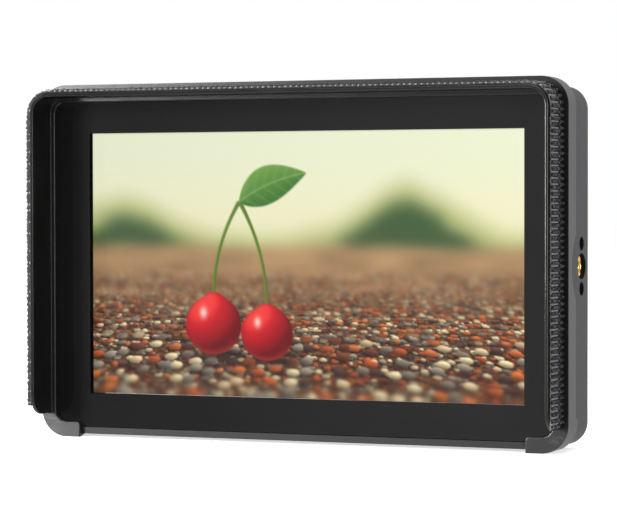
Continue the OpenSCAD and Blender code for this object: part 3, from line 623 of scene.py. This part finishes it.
def paintPicture(p):
    # u runs 0..1.778 from the left, v runs 0..1 from the top: sky, far woods, ground and cherries
    u, v = np.meshgrid(np.linspace(0, p["wide"], p["columns"] + 1), np.linspace(0, 1, p["rows"] + 1))
    haze = smoothStep(0.0, p["horizon"], v + 0.1 * (cloudy(u * 3, v * 3, 5) - 0.5))
    image = mixTo(p["skyTop"], p["skyLow"], haze)
    crown = sum(tall * bell(u - at, width) for at, width, tall in p["woods"]) + 0.02
    line = p["horizon"] - crown - 0.07 * (cloudy(u * 3.2, np.full(u.shape, 2.0), 3) - 0.5)
    image = mixTo(image, p["woodFar"], smoothStep(line - 0.08, line + 0.05, v) * 0.75)
    leafy = smoothStep(0.30, 0.60, cloudy(u * 4.3 + 3, v * 6, 9, 2) + crown * 1.6)
    image = mixTo(image, p["wood"], smoothStep(line, line + 0.10, v) * leafy * 0.92)
    soil = paintSoil(p, u, np.clip((v - p["horizon"]) / (1 - p["horizon"]), 0, 1))
    image = mixTo(image, soil, smoothStep(p["horizon"] - 0.02, p["horizon"] + 0.02, v + 0.006 * np.sin(u * 7)))
    # depth of field: each blur comes in further from the row in focus
    off = np.where(v < p["focus"], (p["focus"] - v) / 0.36, (v - p["focus"]) / 0.30)
    blurred = [softened(image, rounds) for rounds, low, high in p["blurs"]]
    for soft, (rounds, low, high) in zip(blurred, p["blurs"]):
        image = image + (soft - image) * smoothStep(low, high, off)[..., None]
    return paintCherries(image * (0.98 + 0.05 * u / p["wide"])[..., None], u, v, cherries)


def paintCherries(image, u, v, c):
    # two cherries on joined stalks with one leaf, standing on the stones
    joinU, joinV = c["joint"]
    for x, y, r in c["balls"]:
        shade = np.exp(-(((u - x - 0.05) / (r * 1.25)) ** 2 + ((v - y - r * 0.93) / (r * 0.24)) ** 2) * 1.6)
        image = mixTo(image, c["shadow"], shade * 0.78)
    for x, y, r in c["balls"]:
        t = np.clip((v - joinV) / (y - r * 0.78 - joinV), 0, 1)
        path = joinU + (x - joinU) * (1 - (1 - t) ** 2.2)
        half = 0.0065 + 0.004 * (1 - t) ** 6
        stalk = 1 - smoothStep(half - 0.003, half + 0.003, np.abs(u - path))
        stalk *= smoothStep(joinV - 0.006, joinV + 0.004, v) * (1 - smoothStep(y - r * 0.80, y - r * 0.74, v))
        tone = np.clip(0.5 + (u - path) / half * 0.4, 0, 1)
        image = mixTo(image, c["stalk"], stalk * 0.98) * (1 + 0.3 * stalk * (0.5 - tone))[..., None]
    # the leaf's two halves bulge as a sine about its bent middle vein
    along, across = (u - joinU) * 0.93 - (v - joinV) * 0.36, (u - joinU) * 0.36 + (v - joinV) * 0.93
    t = np.clip(along / c["leafLong"], 0, 1)
    half = c["leafHalf"] * np.sin(np.pi * t ** 0.8) ** 0.9 + 1e-4
    bend = across + 0.07 * t * (1 - t)
    leaf = (1 - smoothStep(half - 0.004, half + 0.004, np.abs(bend))) * (along > 0) * (along < c["leafLong"])
    sideVeins = bell(np.modf(np.abs(along * 22 - np.abs(bend) * 16))[0] - 0.5, 0.10)
    green = mixTo(c["leaf"], c["leafPale"], np.clip(0.5 - bend / half * 0.5, 0, 1) * 0.8)
    green = mixTo(green, c["vein"], np.clip(bell(bend, 0.004) + 0.4 * sideVeins, 0, 1) * 0.45)
    image = mixTo(image, green, leaf)
    # each ball is a sphere with a dip on top, lit from the upper left
    for x, y, r in c["balls"]:
        px, py = (u - x) / r, (v - y) / (r * 0.96)
        size = np.hypot(px, py + 0.13 * bell(px, 0.34) * (py < 0))
        facing = np.sqrt(np.clip(1 - np.clip(size, 0, 1) ** 2, 0, 1))
        light = np.clip(-0.45 * px - 0.62 * py + 0.64 * facing, 0, 1)
        skin = mixTo(c["skin"], c["skinLit"], light)
        skin = mixTo(skin, c["skinPale"], smoothStep(0.75, 1.0, light) * 0.55)
        skin = mixTo(skin, c["shine"], bell(px + 0.36, 0.13) * bell(py + 0.42, 0.2) * 0.9)
        skin = mixTo(skin, c["fromBelow"], smoothStep(0.72, 1.0, size) * smoothStep(0.2, 0.9, py) * 0.45)
        image = mixTo(image, skin, 1 - smoothStep(0.965, 1.03, size))
    return image


def makePanel(p):
    # the cell as a closed slab whose front is a fine grid that carries the picture as a colour
    halfW, halfH = monitor["pictureWidth"] / 2, monitor["pictureHeight"] / 2
    low, high = (np.array(corner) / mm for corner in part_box("lcd_panel"))
    xs = np.concatenate([low[:1], np.linspace(-halfW, halfW, p["columns"] + 1), high[:1]])
    zs = monitor["middleZ"] + np.linspace(halfH, -halfH, p["rows"] + 1)
    zs = np.concatenate([high[2:], zs, low[2:]])
    x, z = np.meshgrid(xs, zs)
    front = np.stack([x, np.full(x.shape, low[1]), z], axis=-1).reshape(-1, 3)
    rows, columns = x.shape
    ring = np.concatenate([
        np.arange(columns), np.arange(1, rows) * columns + columns - 1,
        (rows - 1) * columns + np.arange(columns - 2, -1, -1), np.arange(rows - 2, 0, -1) * columns])
    back = front[ring].copy()
    back[:, 1] = high[1]
    n, first = len(ring), len(front)
    side = np.stack([ring, np.roll(ring, -1), first + (np.arange(n) + 1) % n, first + np.arange(n)], axis=1)
    faces = gridFaces(rows, columns).tolist() + side.tolist() + [list(range(first, first + n))]
    piece = makePiece(
        "displayCell", np.concatenate([front, back]), faces, "monitor", "display_cell", replaced=("lcd_panel",))
    # colours as seen become amounts of light by the usual screen curve
    seen = paintPicture(p) / 255
    light = np.where(seen <= 0.04045, seen / 12.92, ((np.clip(seen, 0, 1) + 0.055) / 1.055) ** 2.4)
    # painted glow: the cell's border round the picture gives off a faint light, where a real cell is dark
    full = np.zeros((rows, columns, 4))
    full[...] = (0.006, 0.006, 0.006, 1)
    full[1:-1, 1:-1, :3] = light
    colours = np.concatenate([full.reshape(-1, 4), np.tile([0, 0, 0, 1.0], (n, 1))])
    layer = piece.data.color_attributes.new("light", "FLOAT_COLOR", "POINT")
    layer.data.foreach_set("color", colours.ravel())


makePanel(picture)
print("picture painted")


# the hook tape in millimetres: its two ends' heights, its ribbon, the hooks' columns, and the weft bars
tape = {
    "front": -23.35, "back": -14.45, "leftEnd": 7.8, "rightEnd": 5.6, "lift": 0.1, "thick": 0.44,
    "pitch": 1.55, "frontColumns": 5, "frontPitch": 1.06, "backColumns": 3, "backPitch": 1.12,
    "hookTop": 1.24, "wire": 0.072, "hookHalf": 0.44, "turn": 0.55,
    "barEnd": -17.8, "barHalf": 0.24, "barTop": 0.8, "edge": 0.19, "tallTo": 76, "tallFade": 12,
    "barFat": (1.05, 1.08, 1, 0.94, 1, 0.93, 1, 0.85, 0.3),
    "barSection": ((-1, 0.0), (-0.92, 0.55), (-0.5, 0.93), (0.5, 0.93), (0.92, 0.55), (1, 0.0)),
}


def tapeRuns():
    # lengths of the path's left run, quarter turn, top run and right run
    r = hood["corner"]
    high = hood["top"] - r
    return high - tape["leftEnd"], math.pi / 2 * r, 2 * (hood["halfWidth"] - r), high - tape["rightEnd"]


def onTape(s, y, out):
    # points at length s, depth y and height out on the frame's outside, from the left end on: straight up,
    # a quarter turn, straight across, a quarter turn, straight down
    s, y, out = np.broadcast_arrays(s, y, out)
    r, w = hood["corner"], hood["halfWidth"]
    up, turn, over, _ = tapeRuns()
    angle = np.clip((s - up) / r, 0, math.pi / 2) + np.clip((s - up - turn - over) / r, 0, math.pi / 2)
    x = -(w - r) + np.clip(s - up - turn, 0, over) - np.cos(angle) * (r + out)
    z = tape["leftEnd"] + np.clip(s, None, up) - np.clip(s - up - 2 * turn - over, 0, None)
    return np.stack([x, y, z + np.sin(angle) * (r + out)], axis=-1)


def tube(rows, sides):
    # the faces of a tube of rings with both ends closed
    ends = [list(range(sides))[::-1], list(range((rows - 1) * sides, rows * sides))]
    return gridFaces(rows, sides, closeColumns=True).tolist() + ends


def manyOf(points):
    # points are count x rows x sides; the same tube faces are numbered on for each
    count, rows, sides = points.shape[:3]
    one = tube(rows, sides)
    return [[i + k * rows * sides for i in face] for k in range(count) for face in one]


def circle(sides):
    # evenly spaced angles round a full turn
    return np.linspace(0, 2 * math.pi, sides, endpoint=False)


def makeRibbon(t, length):
    # a flat profile with small round edges carried along the path
    s, a = np.linspace(0, length, 420)[:, None], circle(12)
    halfY, halfT = (t["back"] - t["front"]) / 2, t["thick"] / 2
    across = np.sign(np.cos(a)) * (halfY - halfT) + np.cos(a) * halfT
    points = onTape(s, (t["front"] + t["back"]) / 2 + across, t["lift"] + halfT + np.sin(a) * halfT)
    uv = np.stack(np.broadcast_arrays(s * mm, (across + halfY) * mm), axis=-1)
    makePiece("hookTapeBase", points, tube(len(s), len(a)), "hood", "hook_tape", wovenBase(), ("hook_tape",), uv)


def makeBars(t, rows, rng):
    # weft bars: a low rounded section carried across the tape's front part at every row
    across, side = np.linspace(0, 1, len(t["barFat"])), np.array(t["barSection"])
    fat = np.array(t["barFat"])[None, :, None]
    y = (t["front"] - 0.03) * (1 - across) + t["barEnd"] * across
    endJitter = rng.normal(0, 0.08, len(rows))[:, None, None] * across[None, :, None]
    s = rows[:, None, None] + side[None, None, :, 0] * t["barHalf"] * fat
    high = t["barTop"] - t["thick"] - t["lift"] + 0.1
    out = t["lift"] + t["thick"] - 0.08 + side[None, None, :, 1] * high * fat
    bars = onTape(s + rng.normal(0, 0.03, (len(rows), 1, 1)), y[None, :, None] + endJitter, out)
    makePiece("tapeWeftBars", bars, manyOf(bars), "hood", "hook_tape", weftBars(), smooth=60)


def makeHooks(t, rows, rng):
    # an arch of small rings that leans at its free end, between the bars in front, half a row on behind them
    front = t["front"] + 0.42 + np.arange(t["frontColumns"]) * t["frontPitch"]
    back = front[-1] + (1 + np.arange(t["backColumns"])) * t["backPitch"]
    places = [(r + 0.5 * t["pitch"], y) for r in rows for y in front] + [(r, y) for r in rows[1:] for y in back]
    places = np.array(places) + rng.normal(0, 0.035, (len(places), 2))
    lean = np.where(np.arange(len(places)) % 2 == 0, 1.0, -1.0)[:, None, None]
    tall = rng.normal(0.97, 0.05, (len(places), 1, 1)).clip(0.85, 1.0)
    arch = math.pi * (1 - np.linspace(-0.12, 0.84, 6))
    foot, top = t["lift"] + t["thick"] - 0.1, t["hookTop"] - t["wire"]
    along = t["hookHalf"] * np.cos(arch)
    high = foot + (top - foot) * np.clip(np.sin(arch), -0.1, 1)
    tangent = np.arctan2(np.gradient(high), np.gradient(along))[:, None]
    ring = circle(5)
    wire = np.full((len(arch), 1), t["wire"])
    wire[-1] *= 0.5  # thinner at the cut end
    s = along[:, None] - np.sin(tangent) * np.sin(ring) * wire
    out = high[:, None] + np.cos(tangent) * np.sin(ring) * wire
    hooks = onTape(
        places[:, :1, None] + lean * (s * math.cos(t["turn"]))[None],
        places[:, 1:, None] + (s * math.sin(t["turn"]) + np.cos(ring) * wire)[None],
        t["lift"] + (out[None] - t["lift"]) * tall)
    makePiece("hookTapeHooks", hooks, manyOf(hooks), "hood", "hook_tape", hookNylon(), smooth=70)


def makeCutEdge(t, length, rng):
    # one uneven fuzzy strand along the front, taller on the left, its radius and place wandering with sines
    s, ring = np.linspace(0.05, length - 0.05, 1500)[:, None], circle(7)
    radius = t["edge"] + 0.025 * np.sin(s * 5.3) * np.sin(s * 1.13) + rng.normal(0, 0.012, s.shape)
    y = t["front"] + 0.13 + 0.03 * np.sin(s * 1.7) + np.cos(ring) * radius
    left = 1 - np.clip((s - t["tallTo"]) / t["tallFade"], 0, 1)
    tall = (1.1 + 2.7 * left) * radius
    out = t["lift"] + tall * (0.95 + np.sin(ring)) + 0.02 * np.sin(s * 2.3)
    makePiece("tapeCutEdge", onTape(s, y, out), tube(len(s), len(ring)), "hood", "hook_tape", cutEdge(), smooth=80)


def makeTape(t):
    # the ribbon and the rows of bars and hooks on it, from one run of random numbers
    up, turn, over, down = tapeRuns()
    length, rng = up + 2 * turn + over + down, np.random.default_rng(4)
    rows = np.arange(0.9, length - 0.4, t["pitch"])
    makeRibbon(t, length)
    makeBars(t, rows, rng)
    makeHooks(t, rows, rng)
    makeCutEdge(t, length, rng)


def wovenBase():
    # plain woven nylon: warp and weft as two sine waves on the ribbon's own length and width
    f = Finish("wovenBase", specularIorLevel=0.2)
    u, v, _ = f.axes(f.node("UVMap", {"uv_map": "along"}))
    warp, weft = v.wave(0.36), u.wave(0.52)
    weave = abs(warp * 0.5 + weft * 0.5 * warp)
    fuzz = f.noise(2500, 3, 0.6)
    return f.feed(
        baseColor=f.blend(weave * 0.7 + fuzz * 0.3, grey(0.002), grey(0.010, 0, 0.05)),
        roughness=f.spread(fuzz, 0.55, 0.8), normal=f.bump(weave + fuzz * 0.3, 0.00012))


def weftBars():
    # grey nylon with fibres along the bars, worn paler in places
    f = Finish("weftBars")
    fibre = f.noise(1500, 4, 0.65, (1, 0.15, 1))
    pale = f.spread(fibre) * 0.6 + f.noise(210, 3) * 0.4
    return f.feed(
        baseColor=f.blend(pale, grey(0.075, 0, 0.06), grey(0.17, 0, 0.06)),
        roughness=f.spread(fibre, 0.45, 0.62), normal=f.bump(fibre, 0.00004))


def hookNylon():
    # dark nylon with a random tone, painted paler towards the right and darker to the left: painted light and shade
    f = Finish("hookNylon")
    tone = f.noise(700, 3, 0.6)
    # painted light and shade: only hooks right of x 50 mm get the paler tone, while the left side and most of the
    # top stay dark
    pale = f.between(tone, 0.35, 0.65) * f.between(f.axes()[0], 50, 66, 0.1, 1.0)
    return f.feed(
        baseColor=f.blend(pale, grey(0.008, 0, 0.08), grey(0.17, 0, 0.08)),
        roughness=f.spread(tone, 0.28, 0.42))


def cutEdge():
    # frayed threads with pale flecks, and painted shade that keeps all but the right side dark
    f = Finish("cutEdge", specularIorLevel=0.2)
    fibre, fleck = f.noise(1600, 4, 0.7), f.between(f.cells(750), 0.10, 0.16, 1, 0)
    pale = f.between(f.between(fibre, 0.38, 0.66) * 0.55 + fleck * 0.7, 0, 1)
    # painted shade: left of x 64 mm the pale threads and flecks are darkened
    pale = pale * f.between(f.axes()[0], 64, 71, 0.12, 1.0)
    return f.feed(
        baseColor=f.blend(pale, (0.012, 0.012, 0.011, 1), (0.30, 0.31, 0.275, 1)),
        roughness=f.spread(fibre, 0.6, 0.8), normal=f.bump(fibre, 0.00006))


makeTape(tape)
print("hook tape made")


# in millimetres, from the skin of the body inwards
insert = {
    "skin": 1.2, "length": 7.0, "neck": 3.7, "flange": 4.4, "neckLength": 2.4,
    "crest": 2.6, "depth": 0.5, "pitch": 1.27, "spokes": 72, "rings": 56,
}


def makeInsert(name, node, turn, shift, p):
    # one closed loop of radius and depth, spun round X: up the inside with a helical thread that fades at
    # both ends, out and back over the outside
    d0, d1, neck, flange = p["skin"], p["skin"] + p["length"], p["neck"], p["flange"]
    step = d0 + p["neckLength"]
    inside = np.linspace(d0 + 0.02, d1 - 0.02, p["rings"])[:, None]
    outer = np.array([
        (flange - 0.12, d1), (flange, d1 - 0.12), (flange, step + 0.1), (flange - 0.1, step),
        (neck, step), (neck, d0 + 0.12), (neck - 0.12, d0)])
    angle = circle(p["spokes"])[None, :]
    wave = np.abs(np.modf(inside / p["pitch"] + angle / (2 * math.pi))[0] - 0.5) * 2
    groove = smoothStep(0.12, 0.88, wave) * p["depth"]
    fade = smoothStep(d0, d0 + 0.9, inside) * smoothStep(d1, d1 - 0.5, inside)
    mouth = 0.5 * (1 - smoothStep(d0, d0 + 0.5, inside))
    radius = np.concatenate([p["crest"] + groove * fade + mouth, np.repeat(outer[:, :1], p["spokes"], axis=1)])
    depth = np.repeat(np.concatenate([inside, outer[:, 1:]]), p["spokes"], axis=1)
    points = np.stack([-depth, radius * np.cos(angle), radius * np.sin(angle)], axis=-1)
    points = points @ np.asarray(turn, float).T + np.asarray(shift, float)
    faces = gridFaces(*radius.shape, closeRows=True, closeColumns=True).tolist()
    makePiece(name, points, faces, "monitor", "brass", replaced=(node,), smooth=40)


# the bottom one is the side one with X turned to point down
makeInsert("sideInsert", "side_insert", np.eye(3), (monitor["halfWidth"], 0, monitor["middleZ"]), insert)
makeInsert("bottomInsert", "bottom_insert", [[0, 0, 1], [0, 1, 0], [-1, 0, 0]], (0, 0, 0), insert)
print("inserts made")


# a screw in millimetres, with its cross recess's half width, reach and depth
screw = {
    "head": 1.9, "high": 1.2, "shaft": 1.0, "slot": 0.30, "reach": 1.15, "deep": 0.62,
    "edge": 0.22, "dome": 0.10, "rings": 16, "spokes": 48,
}


def islands(node):
    # a CAD node's separate solids in order: centre x, lowest y, highest y and centre z in millimetres
    work = weld(frame["nodes"][node].data)
    left, found = set(work.verts), []
    while left:
        stack, group = [left.pop()], []
        while stack:
            vert = stack.pop()
            group.append(vert.co[:])
            for edge in vert.link_edges:
                other = edge.other_vert(vert)
                if other in left:
                    left.discard(other)
                    stack.append(other)
        co = np.array(group) / mm
        lo, hi = co.min(0), co.max(0)
        found.append(((lo[0] + hi[0]) / 2, lo[1], hi[1], (lo[2] + hi[2]) / 2))
    work.free()
    return sorted(found)


def makeScrews(name, node, p):
    # each screw is a disc grid whose top falls into a cross recess, carried down over the head's side and
    # the shaft
    angle = circle(p["spokes"])
    flat = p["head"] - p["edge"]
    r = (np.linspace(0.02, 1.0, p["rings"]) * flat)[:, None]
    x, z = r * np.cos(angle), r * np.sin(angle)
    thin, far = np.minimum(np.abs(x), np.abs(z)), np.maximum(np.abs(x), np.abs(z))
    arm = np.maximum(thin - p["slot"], far - p["reach"])
    sink = p["deep"] * (1 - smoothStep(-0.12, 0.06, arm)) * (1 - 0.45 * r / p["reach"])
    y = p["high"] - p["dome"] * (r / p["head"]) ** 2 - sink
    sideR = flat + np.array([0.10, 0.16, 0.22, 0.22])
    sideY = np.append(p["high"] - p["dome"] - np.array([0.03, 0.10, 0.24]), 0)
    shaftR = p["shaft"] - np.array([0, 0, 0, 0.2])
    pieces, faces, rows = [], [], p["rings"] + len(sideR) + len(shaftR)
    one = tube(rows, p["spokes"])
    for cx, y0, y1, cz in islands(node):
        length = y1 - y0 - p["high"]
        rr = np.append(sideR, shaftR)[:, None]
        yy = np.append(sideY, [0.0, -0.05, -length + 0.2, -length])[:, None]
        px = np.concatenate([x, rr * np.cos(angle)]) + cx
        pz = np.concatenate([z, rr * np.sin(angle)]) + cz
        py = np.concatenate([y, np.repeat(yy, p["spokes"], axis=1)]) + (y1 - p["high"])
        faces += [[i + len(pieces) * rows * p["spokes"] for i in face] for face in one]
        pieces.append(np.stack([px, py, pz], axis=-1).reshape(-1, 3))
    makePiece(name, np.concatenate(pieces), faces, bodyOf(node), slotOf(node), replaced=(node,))


for kind in ("case", "plate", "chassis", "board"):
    makeScrews(kind + "Screws", kind + "_screws", screw)
print("screws made")


# per socket: the tongue's height, thickness and length, its contacts on each side and their width
tongues = {
    "video_in_port": ("videoIn", 10.6, 1.3, 7.6, 10, 0.5), "video_out_port": ("videoOut", 10.6, 1.3, 7.6, 10, 0.5),
    "usb_port": ("usb", 6.6, 0.8, 4.6, 12, 0.26),
}
tongueRings = {"reach": (0, 0.5, 0.93, 0.975, 1.0), "ease": (1, 1, 1, 0.88, 0.6), "setBack": 0.7}
contactRings = {"reach": (0.02, 0.5, 0.86, 0.92), "proud": (0.07, 0.07, 0.07, -0.06), "sunk": 0.08}
spring = {"node": "lock_spring", "joint": "pin_retract", "travel": 1.8}


def makeTongue(name, node, height, thick, length, count, width):
    # tongue: a flat section with round ends carried from the socket's back, smaller over the last rings
    low, high = (np.array(corner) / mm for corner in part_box(node))
    middle, back, r = (low + high) / 2, high[0] - tongueRings["setBack"], thick / 2
    a = circle(16)[None, :]
    reach, ease = (np.array(tongueRings[k])[:, None] for k in ("reach", "ease"))
    z = middle[2] + np.sign(np.cos(a)) * (height / 2 - r) + np.cos(a) * r * ease
    y = middle[1] + np.sin(a) * r * ease
    points = np.stack(np.broadcast_arrays(back - reach * length, y, z), axis=-1)
    makePiece(name + "Tongue", points, tube(*y.shape), bodyOf(node), "jack", smooth=50)
    # contacts: flat bars let into both faces, evenly spaced, each with its near end bent down
    rows = middle[2] + (np.arange(count) - (count - 1) / 2) * (height - 2 * r) / count
    places = [(row, side) for side in (-1, 1) for row in rows]
    row, side = (np.array(v)[:, None, None] for v in zip(*places))
    along, proud = (np.array(contactRings[k])[:, None] for k in ("reach", "proud"))
    across, rise = np.array([(-1, 0), (1, 0), (0.8, 1), (-0.8, 1)]).T
    out = r + proud * rise - contactRings["sunk"] * (1 - rise)
    bars = np.stack(np.broadcast_arrays(
        back - along * length, middle[1] + side * out, row + across * width / 2), axis=-1)
    makePiece(name + "Contacts", bars, manyOf(bars), bodyOf(node), slotOf("battery_contacts"), smooth=40)


def makeSpring(node, joint, travel):
    # the lock pin's coil, welded
    mesh = bareCopy(node)
    work = weld(mesh)
    work.to_mesh(mesh)
    work.free()
    mesh.shade_smooth()
    coil = addPiece("lockSpring", mesh, bodyOf(node), slotOf(node), replaced=(node,))
    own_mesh(coil)


makeSpring(**spring)
for node, (name, *sizes) in tongues.items():
    makeTongue(name, node, *sizes)
print("sockets fitted:", len(tongues))

# CAD nodes that keep their shape get a finish
for node, piece in frame["nodes"].items():
    piece.data.materials.clear()
    piece.data.materials.append(finishes[slotOf(node)].material)
print("CAD nodes finished:", len(frame["nodes"]))

# in metres; glow is the light that only the camera sees
stageSet = {"floorZ": -0.00086, "floorSize": 6.0, "glow": 0.62, "paper": 0.86}


def makeStage(p):
    # pale paper that the camera sees near white and that mirrors don't see
    side = np.linspace(-p["floorSize"] / 2, p["floorSize"] / 2, 5)
    x, y = np.meshgrid(side, side)
    points = np.stack([x, y, np.full(x.shape, p["floorZ"])], axis=-1).reshape(-1, 3)
    mesh = bpy.data.meshes.new("floor")
    mesh.from_pydata(points.tolist(), [], gridFaces(*x.shape).tolist())
    floor = addObject("floor", mesh)
    f = Finish("paleFloor", baseColor=grey(p["paper"]), roughness=0.9, specularIorLevel=0.0)
    plain = Field(f.tree, f.shader.outputs[0])
    glowing = f.node("AddShader", in0=plain, in1=f.node("Emission", strength=p["glow"]))
    seen = f.node("MixShader", in0=f.node("LightPath", output="Is Camera Ray"), in1=plain, in2=glowing)
    mirror = f.node("LightPath", output="Is Glossy Ray")
    f.showAs(f.node("MixShader", in0=mirror, in1=seen, in2=f.node("BsdfTransparent")))
    mesh.materials.append(f.material)


# the surroundings' strength by direction: (axis, from, to, lowest, highest), added together
surroundings = (
    (0, -0.52, -0.30, 0.08, 0.78), (0, -0.30, 0.45, 0.0, 0.36), (2, 0.05, -0.25, 0.0, 0.05),
    (0, -0.72, -0.92, 0.0, 0.9), (2, -0.35, -0.85, 0.0, 0.8),
)
# the dark corner, where both of these are high
darkCorner = ((1, -0.45, -0.05, 0.85, 0.0), (0, 0.05, 0.35, 0.0, 1.0))


def makeWorld():
    # white to the camera, elsewhere a soft studio that is dark where the glass and the frame's inside reflect it
    world = bpy.data.worlds.new("studio")
    bpy.context.scene.world = world
    world.use_nodes = True
    sky = NodeTree(world.node_tree)
    way = sky.node("TexCoord", output="Generated")

    def ramp(axis, *span):
        return sky.between(sky.node("SeparateXYZ", output=axis, vector=way), *span, curve="SMOOTHSTEP")

    across, right, under, left, table = (ramp(*term) for term in surroundings)
    front, rightHand = (ramp(*term) for term in darkCorner)
    plain = sky.node("Background", strength=(across + right + under + left + table) * (1 - front * rightHand))
    white = sky.node("Background", color=(1, 1, 1, 1), strength=1.0)
    sky.showAs(sky.node("MixShader", in0=sky.node("LightPath", output="Is Camera Ray"), in1=plain, in2=white))


def addLamp(name, at, aim, size, power):
    # a rectangle that shines from at towards aim
    data = bpy.data.lights.new(name, "AREA")
    data.shape, data.size, data.size_y, data.energy = "RECTANGLE", size[0], size[1], power
    lamp = addObject(name, data)
    lamp.rotation_mode = "QUATERNION"
    lamp.location = at
    lamp.rotation_quaternion = (Vector(at) - Vector(aim)).to_track_quat("Z", "Y")


# place, aim and size in metres, power in watts
studioLamps = {
    "leftLamp": ((-0.55, -0.575, 0.21), (0, 0, 0.045), (0.16, 0.40), 13.5),
    "rightLamp": ((0.62, -0.50, 0.10), (0.073, 0, 0.045), (0.12, 0.2), 2.0),
    "topLamp": ((0.1, -0.1, 0.9), (0, 0, 0.045), (0.8, 0.6), 4.5),
}
makeStage(stageSet)
makeWorld()
for name, row in studioLamps.items():
    addLamp(name, *row)
print("stage lit")
